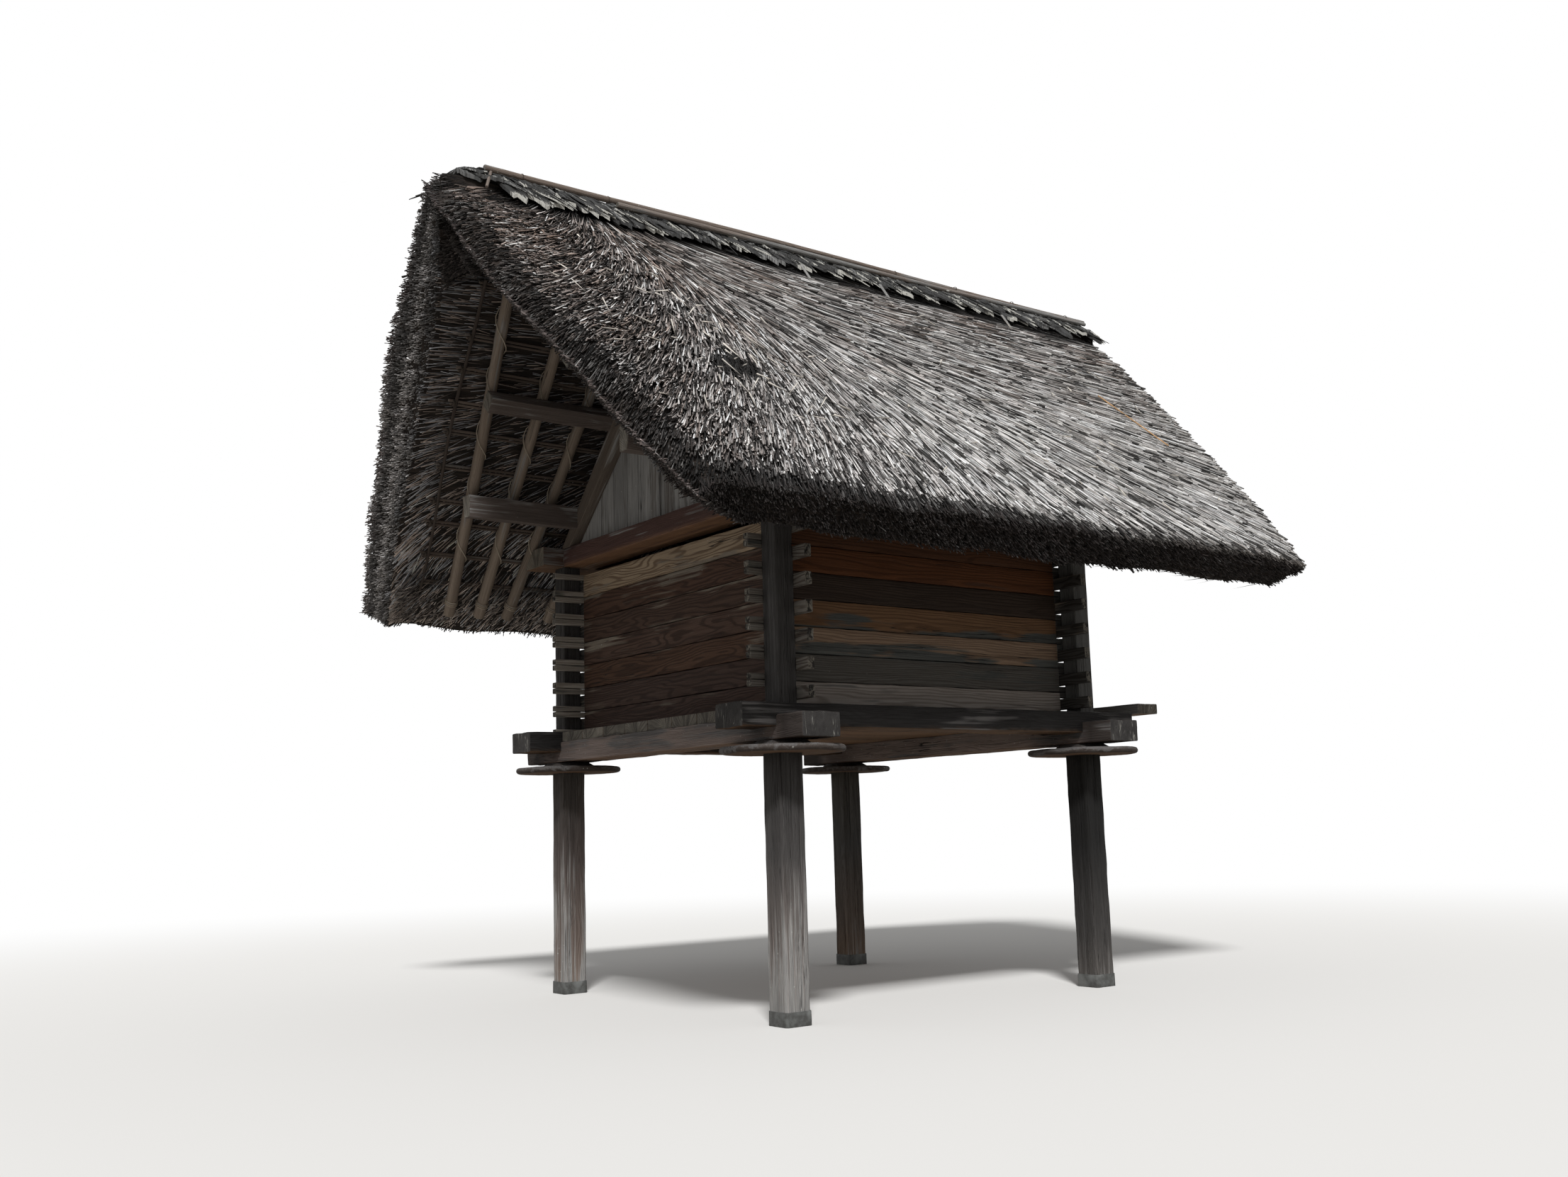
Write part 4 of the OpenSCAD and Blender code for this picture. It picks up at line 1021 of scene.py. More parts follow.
for k, (name, sx) in enumerate(GABLES):
    batch = Batch()
    x = CENTRE_X + sx * (HALF_X + SHAFT / 2 - RAFTER_T / 2)
    for s in (-1, 1):
        low = quad_ring((x, s * FOOT, PLATE_TOP), (x, s * FOOT_IN, PLATE_TOP), RAFTER_T)
        high = quad_ring((x, s * 0.001, RAFTER_TOP), (x, s * 0.001, RAFTER_TOP - RAFTER_H), RAFTER_T)
        low, high = (low, high) if s > 0 else (low[::-1], high[::-1])
        loft(batch, low, high, 1400 + 2 * k + (s > 0), side=ALONG_X, wear=0.004, grooves=8,
             step=0.08, grey=0.22, paint=RAFTER_PAINT, round_over=0.006)
    batch.build(f"leaning_rafters_{name}", roof_timber, "roof_timber", (f"gable_rafters_{name}",))
    batch = Batch()
    x0 = CENTRE_X + sx * (HALF_X + SHAFT / 2 - RAFTER_T - 0.0005)
    for i, (a, b) in enumerate(zip(SEAMS[:-1], SEAMS[1:])):
        t = BOARD / 2 if b - a < THIN_BOARD else BOARD
        x = x0 - sx * (BOARD - t / 2)
        flat = rectangle(t, b - a - 0.005, 0.003, 0.03)[::-1]
        low = np.stack([x + flat[:, 0], (a + b) / 2 + flat[:, 1], np.full(len(flat), PLATE_TOP + 0.001)], -1)
        high = low.copy()
        share = 1 - np.abs(high[:, 1]) / (FOOT_IN + 0.02)
        high[:, 2] = PLATE_TOP + (RAFTER_TOP - RAFTER_H + 0.03 - PLATE_TOP) * share
        shade = np.random.default_rng(1450 + i + 20 * k).uniform(0.75, 1.15)
        loft(batch, low, high, 1500 + i + 20 * k, wear=0.002, step=0.08, grey=0.72,
             paint=BOARD_PAINT * shade)
    batch.build(f"screen_boards_{name}", grey_boards, "grey_boards", (f"gable_boards_{name}",))

# %% [markdown]
# ## Roof lines
#
# Every layer of the roof, from the poles to the reeds, lies on a parallel
# slope. So each layer is one number, its height over the ridge line, and the
# place of a point follows from its distance from the ridge. The roof is
# longest at the ridge, and both gables lean outwards.

# %% Roof lines
POLE_D, POLE_OVER, FRONT_CUT, BATTEN_D = 0.1, 0.575, 0.13, 0.024
RIDGE_HALF, EAVE_HALF, THATCH_T, EAVE_OVER = 3.72, 3.085, 0.405, 1.11
LIP_IN, FRONT_LIP, CROWN_IN, BATTEN_IN = 0.335, 0.515, 0.06, 0.20
VERGE_IN, VERGE_DROP = 0.27, 0.14
# Length of a slope for each metre out from the ridge
K = math.sqrt(1 + RISE * RISE)
POLE_ZR = UNDER_Z + POLE_D / 2 * K
BATTEN_ZR = POLE_ZR + (POLE_D + BATTEN_D) / 2 * K
INNER_ZR = BATTEN_ZR + BATTEN_D / 2 * K
OUTER_ZR = INNER_ZR + THATCH_T * K
FOOT_Y = EDGE_Y + POLE_OVER
BEND_Y = EDGE_Y + 0.46 * EAVE_OVER
EAVE_Y = EDGE_Y + EAVE_OVER
RIDGE_BEAM_Z = POLE_ZR + POLE_D * K


def half_at(y):
    """Half the length of the roof at distance y from the ridge."""
    v = np.abs(y) / EAVE_Y
    return RIDGE_HALF - (RIDGE_HALF - EAVE_HALF) * (0.3 * v + 0.7 * v * v)


def batten_half(y):
    """Half the length of the battens at distance y from the ridge."""
    return half_at(y) - LIP_IN - BATTEN_IN + 0.03 * np.abs(y)


print("ridge", round(OUTER_ZR, 3), "eave", round(EAVE_Y, 3))

# %% [markdown]
# ## Purlins and ridge beam
#
# Two squared purlins on each side and a round ridge beam carry the poles. The
# lower purlin stands upright and the upper one lies square to the slope, so
# both are swept along the ridge from an outline of their own.

# %% Purlins and ridge beam
LOW_H, LOW_W, UP_W, UP_D = 0.195, 0.14, 0.14, 0.13
UPPER_Y, LOWER_Y = 0.398 * EDGE_Y, 0.811 * EDGE_Y
TIMBER = np.array([0.105, 0.088, 0.080])
tilt = math.atan(RISE)
inward = np.array([-math.cos(tilt), math.sin(tilt)])
down = np.array([-math.sin(tilt), -math.cos(tilt)])
for k, (name, sy) in enumerate(SLOPES):
    top = UNDER_Z - RISE * LOWER_Y
    low = np.array([(LOWER_Y, top), (LOWER_Y - LOW_W, top - 0.06 * LOW_W), (LOWER_Y - LOW_W, top - LOW_H),
                    (LOWER_Y - 0.3 * LOW_W, top - LOW_H)])
    corner = np.array([UPPER_Y, UNDER_Z - RISE * UPPER_Y])
    back = corner - inward * UP_W
    up = np.array([corner, back, back + down * UP_D, corner + down * UP_D])
    for label, section, reach in (("lower", low, 0.742 * RIDGE_HALF), ("upper", up, 0.77 * RIDGE_HALF)):
        section = section * [sy, 1]
        mid = section.mean(axis=0)
        batch = Batch()
        bar(batch, (-reach, *mid), (reach, *mid), outline(section - mid, 0.007, 0.035),
            1600 + 3 * k + len(label) % 2, wear=0.005, grooves=10, step=0.09, grey=0.38,
            paint=TIMBER, round_over=0.006)
        batch.build(f"{label}_purlin_bar_{name}", roof_timber, "roof_timber", (f"{label}_purlin_{name}",))
batch = Batch()
log_end = 0.924 * RIDGE_HALF
bar(batch, (-log_end, 0, RIDGE_BEAM_Z), (log_end, 0, RIDGE_BEAM_Z), circle(0.1, 20), 1620,
    wear=0.006, step=0.09, grey=0.35, paint=TIMBER)
batch.build("ridge_log", roof_timber, "roof_timber", ("ridge_beam",))

# %% [markdown]
# ## Poles and ties
#
# A fan of natural poles carries the thatch, and their heads cross at the
# ridge. A light cord winds round each pole. Curves with a bevel could make
# both. Here a pole is a length of wood whose middle line is bent by two slow
# sine waves, and a cord is a ring carried along a helix.


# %% Natural sticks
def natural(batch, a, b, r1, r2, seed, count=12, wander=0.012, step=0.09, **more):
    """A grown stick from a to b: round, its radius going from r1 to r2, slowly bent.

    The middle line leaves the straight one by two slow sine waves. Gives back
    the unit vectors along, to the side and upwards, and the length."""
    r = np.random.default_rng(seed)
    a, b = np.asarray(a, float), np.asarray(b, float)
    length = np.linalg.norm(b - a)
    along = (b - a) / length
    side = np.cross(along, (0.3, 0.2, 1.0))
    side /= np.linalg.norm(side)
    up = np.cross(side, along)
    flat = circle(2.0, count)
    first = len(batch.points)
    round_ring = flat[:, :1] * side + flat[:, 1:] * up
    loft(batch, a + round_ring * r1, b + round_ring * r2, seed, side=side, wear=0.06 * (r1 + r2) / 2,
         step=step, round_over=min(0.004, r1 * 0.3), **more)
    p = batch.points[first]
    u = ((p - a) @ along) / length
    bend = np.sin(math.pi * np.clip(u, 0, 1))
    w1, w2, f1, f2 = r.uniform(0, 6.28), r.uniform(0, 6.28), r.uniform(1.5, 3.5), r.uniform(1.5, 3.5)
    p += np.outer(bend * np.sin(f1 * 2 * u + w1) * wander, side)
    p += np.outer(bend * np.sin(f2 * 2 * u + w2) * wander * 0.6, up)
    return along, side, up, length


# Places of the poles at their feet and heads, as shares of the half length, from the middle out
FOOT_AT = [0, 0.153, 0.306, 0.456, 0.585, 0.669, 0.756]
HEAD_AT = [0, 0.168, 0.335, 0.5, 0.647, 0.814, 0.997]
CANE_IN = 1.7 * BATTEN_D
POLE_SHIFT = POLE_D + 0.005
HEAD_REACH = batten_half(0.0) - CANE_IN - (BATTEN_D + POLE_D) / 2 - POLE_SHIFT


def pole_line(i, side):
    """Foot and head of pole i of a slope; side is -1 for the front."""
    sx = (i > 0) - (i < 0)
    shift, cut = (POLE_SHIFT, FRONT_CUT) if side < 0 else (0.0, 0.0)
    xf = sx * FOOT_AT[abs(i)] * half_at(FOOT_Y) + shift
    xh = sx * HEAD_AT[abs(i)] * HEAD_REACH + shift
    lean = (xh - xf) / FOOT_Y
    past = POLE_D * 0.82
    foot = np.array([xf + lean * cut, side * (FOOT_Y - cut), POLE_ZR - RISE * (FOOT_Y - cut)])
    head = np.array([xh + lean * past, -side * past, POLE_ZR + RISE * past])
    return foot, head


print("pole heads reach", round(HEAD_REACH, 3))


# %% Cords
def tube(batch, path, radius, count, tone=0.5, grey=0.5, paint=(1, 1, 1)):
    """A round cord of that radius along a path of points (n x 3), closed at both ends.

    At each point the ring stands square to the path's direction there."""
    way = unit(np.gradient(path, axis=0))
    side = unit(np.cross(way, (0.31, 0.17, 0.93)))
    up = np.cross(way, side)
    flat = circle(2.0, count)
    rings = path[:, None] + radius * (flat[None, :, :1] * side[:, None] + flat[None, :, 1:] * up[:, None])
    u = np.concatenate([[0], np.cumsum(np.linalg.norm(np.diff(path, axis=0), axis=1))])
    grain = np.stack([np.repeat(u, count), np.tile(flat[:, 0], len(path)) * 0.01,
                      np.tile(flat[:, 1], len(path)) * 0.01 + 0.05], -1)
    pts = np.concatenate([rings.reshape(-1, 3), path[[0, -1]]])
    grain = np.concatenate([grain, [[0, 0, 0.05], [u[-1], 0, 0.05]]])
    quads, fans = sweep_faces(len(path), count)
    batch.add_closed(pts, quads, fans, grain, tone, grey, 0.0, paint)


def around(a, along, side, up, begin, end, turns, radius, count):
    """Points of a coil round a pole between two places on it, in metres from a.

    Point = a + along * u + (side * cos(turn) + up * sin(turn)) * radius, with
    count points for each turn."""
    t = np.linspace(0, 1, max(int(abs(turns) * count), 4))
    turn = t * turns * 2 * math.pi
    mid = a + np.outer(begin + (end - begin) * t, along)
    return mid + (np.outer(np.cos(turn), side) + np.outer(np.sin(turn), up)) * radius


def tie(batch, middle, round_radius, radius, points, count, **more):
    """Two turns of cord round a stick that lies about along the ridge."""
    tube(batch, around(middle, *np.eye(3), 0, 0.012, 2, round_radius, points), radius, count, **more)


print("points in a turn of cord", len(around(np.zeros(3), *np.eye(3), 0, 1, 1, 0.05, 11)))

# %% Poles with their cords
POLE_PAINT = np.array([0.25, 0.208, 0.17])
CORD_PAINT, LASH_PAINT = (0.50, 0.45, 0.37), (0.36, 0.31, 0.25)
# Metres of pole for each turn of its cord
CORD_PITCH = 0.62
for k, (name, sy) in enumerate(SLOPES):
    batch, ties = Batch(), Batch()
    for i in range(1 - len(FOOT_AT), len(FOOT_AT)):
        foot, head = pole_line(i, sy)
        shade = np.random.default_rng(1700 + 40 * k + i).uniform(0.75, 1.15)
        *ways, length = natural(batch, foot, head, POLE_D * 0.51, POLE_D * 0.45, 1750 + 40 * k + i,
                                wander=0.006, grey=0.20, tone=0.5, paint=POLE_PAINT * shade)
        coil = around(foot, *ways, 0.35, length - 0.25, length / CORD_PITCH, POLE_D * 0.56, 11)
        coil += (ripple(coil, 0.2, 1780 + i)[:, None]) * ways[1] * 0.008
        tube(ties, coil, 0.0042, 4, paint=CORD_PAINT, grey=0.2)
        lash = around(foot, *ways, 0.11, 0.16, 3, POLE_D * 0.54, 11)
        tube(ties, lash, 0.0065, 5, paint=LASH_PAINT, grey=0.3)
    batch.build(f"roof_poles_{name}", pole_wood, "pole_wood", (f"pole_rafters_{name}",))
    ties.build(f"pole_ties_{name}", cane, "cane")

# %% [markdown]
# ## Battens and gable canes
#
# Thin canes lie across the poles in pairs, and one more runs up each gable
# edge, tied to every pair. They are the same natural sticks, only thinner.

# %% Battens and gable canes
BATTEN_AT = [0.074, 0.211, 0.3, 0.392, 0.473, 0.574, 0.676, 0.743, 0.84, 0.927]
BATTEN_PAINT, CANE_PAINT, KNOT_PAINT = (0.135, 0.110, 0.095), (0.060, 0.048, 0.041), (0.075, 0.062, 0.052)
for k, (name, sy) in enumerate(SLOPES):
    batch = Batch()
    for i, share in enumerate(BATTEN_AT):
        y = share * FOOT_Y
        z = BATTEN_ZR - RISE * y
        h = float(batten_half(y))
        for n in range(2):
            row = (sy * (y + 0.020 * n), z - 0.021 * n)
            natural(batch, (-h + 0.02 * n, *row), (h - 0.03 * n, *row), BATTEN_D * (0.52 - 0.1 * n),
                    BATTEN_D * 0.44, 1800 + 60 * k + 2 * i + n, count=6, wander=0.008, step=0.2,
                    grey=0.12, paint=BATTEN_PAINT)
    batch.build(f"tied_battens_{name}", cane, "cane", (f"battens_{name}",))


def verge_at(y, z, sx, sy):
    """Point of a gable cane at distance y from the ridge; z is its height over the ridge line."""
    return np.array([sx * (batten_half(y) - CANE_IN), sy * y, z - RISE * y])


batch = Batch()
for k, (sx, sy) in enumerate(corners.values()):
    z = BATTEN_ZR - BATTEN_D * K
    a, b = verge_at(0.055 * FOOT_Y, z, sx, sy), verge_at(0.95 * FOOT_Y, z, sx, sy)
    natural(batch, a, b, BATTEN_D * 0.62, BATTEN_D * 0.5, 1900 + k, count=8, wander=0.032, step=0.08,
            grey=0.05, paint=CANE_PAINT)
    for share in BATTEN_AT:
        mid = verge_at(share * FOOT_Y, BATTEN_ZR - 0.5 * BATTEN_D * K, sx, sy)
        tie(batch, mid - [0.006, 0, 0], BATTEN_D * 1.1, 0.006, 9, 5, paint=KNOT_PAINT, grey=0.1)
batch.build("verge_cane_sticks", cane, "cane", ("verge_canes",))

# %% [markdown]
# ## Thatch
#
# The solid thatch becomes a mass painted near black, as painted shade in the
# gaps, and over it lie tens of thousands of reeds. A hair system could grow
# them, but its strands are no closed shells.
# So each reed is a slim closed spike: its point is buried and its cut end
# shows. The reeds fan out from a line near the left of the slope, so those
# by the gables lie almost along the ridge.

# %% Thatch finishes
# The mass is painted near black, as painted shade in the gaps between the reeds
under = Finish("thatch_mass", 0.95)
p = under.place()
streak = under.drawn(p, (1.6, 70, 70), 3.0, 0.6)
patch = under.drawn(p, (0.7, 3, 3), 3.0, 0.6)
tint = under.mix(under.ease(streak, 0.3, 0.75), (0.008, 0.007, 0.006), (0.045, 0.034, 0.028))
tint = under.mix(under.ease(patch, 0.45, 0.7, 0.0, 0.6), tint, (0.016, 0.015, 0.014))
under.bump(streak, 0.006)
thatch_mass = under.finish(tint)

# A reed is painted darker towards its root, as painted shade where it comes out between its neighbours, and
# pale at its tip
reed = Finish("thatch_reed", 0.8)
paint, along, grain = reed.read("paint", "Color"), reed.read("tone"), reed.read("grain", "Vector")
fleck = reed.drawn(grain, (25, 300, 300), 2.0, 0.6)
blotch = reed.drawn(grain, (6, 40, 40))
tint = reed.mix(reed.ease(fleck, 0.45, 0.8, 0.0, 0.45), paint, (0.05, 0.042, 0.038))
shade = reed.times(reed.ease(blotch, 0.3, 0.7, 0.80, 1.35), reed.ease(along, 0.25, 0.85, 0.12, 1.0))
reed.bump(fleck, 0.001)
thatch_reed = reed.finish(reed.shaded(tint, shade), reed.ease(fleck, 0.3, 0.7, 0.6, 0.9))
print("thatch finishes", thatch_mass.name, thatch_reed.name)

# %% Reeds
def varied(r, count, spread):
    """A factor for each reed, spread about 1: e to the power of a normal number."""
    return np.exp(r.normal(0, spread, count))[:, None]


def speckled(r, colour, share, keep, add, spread):
    """The colours, a share of them turned paler and all of them a little varied."""
    speck = (r.uniform(size=len(colour)) < share)[:, None]
    return np.where(speck, colour * keep + add, colour) * varied(r, len(colour), spread)


def spikes(batch, root, tip, width, paint, seed, flat=0.7):
    """Closed spikes from root to tip (both n x 3): a point at the root, a three-cornered cut end at the tip.

    Corner j = tip + width * (side * cos(a_j) + up * sin(a_j) * flat), with the
    three angles a_j a third of a turn apart."""
    r = np.random.default_rng(seed)
    n = len(root)
    way = tip - root
    length = np.linalg.norm(way, axis=1, keepdims=True)
    way = way / length
    side = np.cross(way, [0.12, 0.2, 1.0])
    side /= np.maximum(np.linalg.norm(side, axis=1, keepdims=True), 1e-6)
    up = np.cross(side, way)
    angle = r.uniform(0, 2 * math.pi, (n, 1)) + np.array([[0, 1, 2]]) * 2 * math.pi / 3
    w = np.broadcast_to(np.asarray(width, float), (n,))[:, None, None] / 2
    cosine, sine = np.cos(angle)[..., None], np.sin(angle)[..., None]
    ring = tip[:, None] + w * (side[:, None] * cosine + flat * up[:, None] * sine)
    ring += way[:, None] * r.uniform(-0.5, 0.5, (n, 3, 1)) * w
    points = np.concatenate([root[:, None], ring], axis=1)
    base = np.arange(n)[:, None] * 4
    faces = np.stack([base + [0, 1, 2], base + [0, 2, 3], base + [0, 3, 1], base + [1, 3, 2]], axis=1)
    grain = np.zeros((n, 4, 3))
    grain[:, 1:, 0] = length
    grain[:, 1:, 1:] = np.concatenate([cosine, sine], axis=2) * 0.006
    grain += r.uniform(0, 30, (n, 1, 1)) * [1, 0.7, 0.3]
    colour = np.repeat(np.broadcast_to(paint, (n, 3))[:, None], 4, axis=1)
    batch.add(points.reshape(-1, 3), faces.reshape(-1, 3), grain.reshape(-1, 3),
              np.tile([0.0, 1, 1, 1], n), 0.5, 0.0, colour.reshape(-1, 3))


def lay(name, root, tip, width, colour, seed, flip=(1, 1, 1), **more):
    """A piece of reeds; flip is -1 in y where formulas for the back make the front."""
    batch = Batch()
    spikes(batch, root * flip, tip * flip, width, colour, seed, **more)
    batch.build(name, thatch_reed, "thatch", sharp=0)


print("reed noise", varied(np.random.default_rng(1), 2, 0.3).round(2).ravel())

# %% [markdown]
# ## Skins of the thatch
#
# The thatch swells over the slope, bends at the eave and rolls over at the
# gables. A cage with Subdivision Surface could follow that, but reeds have to
# find their place on it by a formula. So a slope has an outer and an inner
# skin, each a grid of rings from gable to gable and rows from ridge to eave.
# Ring c counts from the middle: up to 13 the rings are evenly spaced, then
# three more go round the gable's edge, which is a quarter of an ellipse,
# 270 mm wide and 140 mm deep.

# %% Rings of a skin
SHAG, LUMP = 0.022, 0.016
LONG_RINGS, TURN_RINGS, ROWS = 13, 3, 12
RINGS = LONG_RINGS + TURN_RINGS
SLOPE_T = EAVE_Y * K
NORMAL = np.array([0.0, RISE / K, 1 / K])
DOWN = np.array([0.0, 1 / K, -RISE / K])
# The lower lip: how far it lies inside the edge, and the share it loses by the eave
LIPS = {-1: (FRONT_LIP, 0.15), 1: (LIP_IN, 0.3)}


def uneven(a, b):
    """A repeatable uneven value between -1 and 1: the mean of two sines of a and b in degrees."""
    return (np.sin(np.radians(a * 37 + b * 59)) + np.sin(np.radians(a * 71 - b * 113 + 40))) / 2


def ring_x(c, half):
    """Distance along the roof of ring c, where the skin is half long on each side.

    x = c / 13 * (half - 0.27) up to ring 13, then half - 0.27 + 0.27 * sin(turn)."""
    turn = np.clip(np.abs(c) - LONG_RINGS, 0, TURN_RINGS) / TURN_RINGS * math.pi / 2
    flat = np.minimum(1, np.abs(c) / LONG_RINGS) * (half - VERGE_IN)
    return np.sign(c) * (flat + VERGE_IN * np.sin(turn))


def ring_at(x, half):
    """The ring that passes through x, the other way round."""
    flat = half - VERGE_IN
    turn = np.arcsin(np.clip((np.abs(x) - flat) / VERGE_IN, 0, 1))
    long = np.clip(np.abs(x) / flat, 0, 1) * LONG_RINGS
    return np.sign(x) * (long + turn / (math.pi / 2) * TURN_RINGS)


print("ring 13 at the ridge", round(float(ring_x(LONG_RINGS, RIDGE_HALF)), 2))


# %% Grids
def thatch_grid(lip=None):
    """Corner points of the outer skin, or of the inner one if its lip is given."""
    c, v = np.meshgrid(np.arange(-RINGS, RINGS + 1.0), np.arange(ROWS + 1.0), indexing="ij")
    edge = v == ROWS
    end = (np.abs(c) > LONG_RINGS) & (v > 0)
    swell = 0.0
    if lip is None:
        y = EAVE_Y * v / ROWS
        z = OUTER_ZR - RISE * y - np.where(v == 0, 0.03 * THATCH_T, 0)
        inset = CROWN_IN * np.maximum(0, 1 - y / (2 * CROWN_IN)) ** 2
        swell = LUMP * uneven(c * 3, v) * ((v > 1) & ~edge)
    else:
        void = RIDGE_BEAM_Z + 0.05
        clear, land = 1.6 * POLE_D, 2.2 * POLE_D
        line = [(0.0, void), (0.06, void), (clear, max(void - 1.35 * POLE_D, INNER_ZR - RISE * clear))]
        line += [(y0, INNER_ZR - RISE * y0) for y0 in np.linspace(land, BEND_Y, 9)]
        line.append((EAVE_Y - 0.445 * THATCH_T, OUTER_ZR - RISE * EAVE_Y - 0.506 * THATCH_T))
        y, z = np.array(line)[v.astype(int)].transpose(2, 0, 1)
        inset = lip[0] * (1 - lip[1] * y / EAVE_Y) * np.minimum(1, 0.4 + 2 * y / EDGE_Y)
    half = half_at(y) - inset + end * SHAG * uneven(v + 3 * np.sign(c), 7)
    kind = 1 if lip is None else 2
    return np.stack([ring_x(c, half), y + edge * SHAG * uneven(c, kind),
                     z + edge * SHAG * uneven(c, kind + 2) + swell], -1)


OUTER = thatch_grid()
INNER = {side: thatch_grid(lip) for side, lip in LIPS.items()}


def on_grid(grid, c, down):
    """Point of a skin on ring c; down runs 0 to 1 from ridge to eave.

    The four corner points round it are mixed by how near they are."""
    u = np.clip(np.asarray(c) + RINGS, 0, 2 * RINGS - 1e-6)
    v = np.clip(np.asarray(down) * ROWS, 0, ROWS - 1e-6)
    i, j = u.astype(int), v.astype(int)
    a, b = (u - i)[..., None], (v - j)[..., None]
    return ((grid[i, j] * (1 - a) + grid[i + 1, j] * a) * (1 - b)
            + (grid[i, j + 1] * (1 - a) + grid[i + 1, j + 1] * a) * b)


print("grids", OUTER.shape, INNER[1].shape)


# %% Points on the rounded skin
# Length of the rounded edge, measured along the skin
EDGE_ARC = 0.33


def edge_turn(x, half):
    """How far x has gone over the rounded edge of a gable: 0 on the flat skin, 1 at its end."""
    return np.clip((np.abs(x) - half + VERGE_IN) / VERGE_IN, 0, 1)


def skin(x, t, lift):
    """Point above the outer skin, t metres down the slope and x along it, lift metres off it.

    Near a gable the skin has sunk by 0.14 * (1 - cos(turn)), where sin(turn) is
    1 - s / 0.27 at the distance s from the edge, and lift is square to it."""
    half = half_at(t / K)
    sine = edge_turn(x, half)
    cosine = np.sqrt(1 - sine ** 2)
    base = on_grid(OUTER, ring_at(x, half), t / SLOPE_T)
    out = np.array([1.0, 0, 0]) * (np.sign(x) * sine * VERGE_DROP)[..., None]
    out = unit(out + NORMAL * (cosine * VERGE_IN)[..., None])
    return base - NORMAL * (VERGE_DROP * (1 - cosine))[..., None] + out * np.asarray(lift)[..., None]


def under_skin(sy, ring, down):
    """Points of the inner skin; sy is -1 or 1 for each, for the front or the back slope."""
    return np.where((sy < 0)[:, None], on_grid(INNER[-1], ring, down), on_grid(INNER[1], ring, down))


def arc_to_x(share, half):
    """Plain x for a share, -1 to 1, of the way over the roof with its two rounded edges."""
    flat = half - VERGE_IN
    arc = np.abs(share) * (flat + EDGE_ARC)
    turn = np.clip((arc - flat) / EDGE_ARC, 0, 1) * math.pi / 2
    return np.sign(share) * np.where(arc < flat, arc, flat + VERGE_IN * np.sin(turn))


print("skin 1 m down the slope", skin(np.zeros(1), np.ones(1), 0.0).round(3))


# %% Dark bodies
def mass(name, sy):
    """The body under the reeds of one slope, painted near black as the shade in the gaps between them: outer
    skin 45 mm down, inner skin as it is.
    """
    rings = np.linspace(-RINGS, RINGS, 65)
    down = np.linspace(0, 1, 25)
    c, d = np.meshgrid(rings, down, indexing="ij")
    t = d * SLOPE_T
    x = ring_x(c, half_at(t / K))
    top = skin(x, t, -0.045 - 0.012 * ripple(np.stack([x, t], -1), 0.3, 41))
    top[:, -1] -= DOWN * 0.03
    ring = np.concatenate([top, on_grid(INNER[sy], c, d)[:, ::-1]], axis=1)
    rows, cols = ring.shape[:2]
    i, j = np.meshgrid(np.arange(rows - 1), np.arange(cols), indexing="ij")
    j2 = (j + 1) % cols
    quads = np.stack([i * cols + j, i * cols + j2, (i + 1) * cols + j2, (i + 1) * cols + j], -1)
    v = np.arange(len(down) - 1)
    first = np.stack([v, cols - 1 - v, cols - 2 - v, v + 1], -1)
    last = first[:, ::-1] + (rows - 1) * cols
    points = ring.reshape(-1, 3) * [1, sy, 1]
    faces, _ = outward(points, np.concatenate([quads.reshape(-1, 4), first, last]), np.zeros((0, 3), int))
    batch = Batch()
    batch.add(points, faces, points)
    batch.build(f"thatch_body_{name}", thatch_mass, "thatch", (f"thatch_{name}",))


for name, sy in SLOPES:
    mass(name, sy)

# %% [markdown]
# ## Reeds of the slopes
#
# High up and at the left the reeds are dusky and a little pink, low down and
# at the right they are silver. One texture over the slope could show that,
# but single reeds differ as much as places do. So each reed gets its own
# colour from its place and from chance, and its own height about the skin.

# %% Colours of the slopes
PINK = np.array([0.33, 0.245, 0.20])
DUSK = np.array([0.18, 0.16, 0.152])
PALE = np.array([0.84, 0.81, 0.795])
WHITE = np.array([0.90, 0.88, 0.855])
# Share of reeds painted dark, as painted shade on shaded reeds
SHADED_REED_SHARE = 0.27


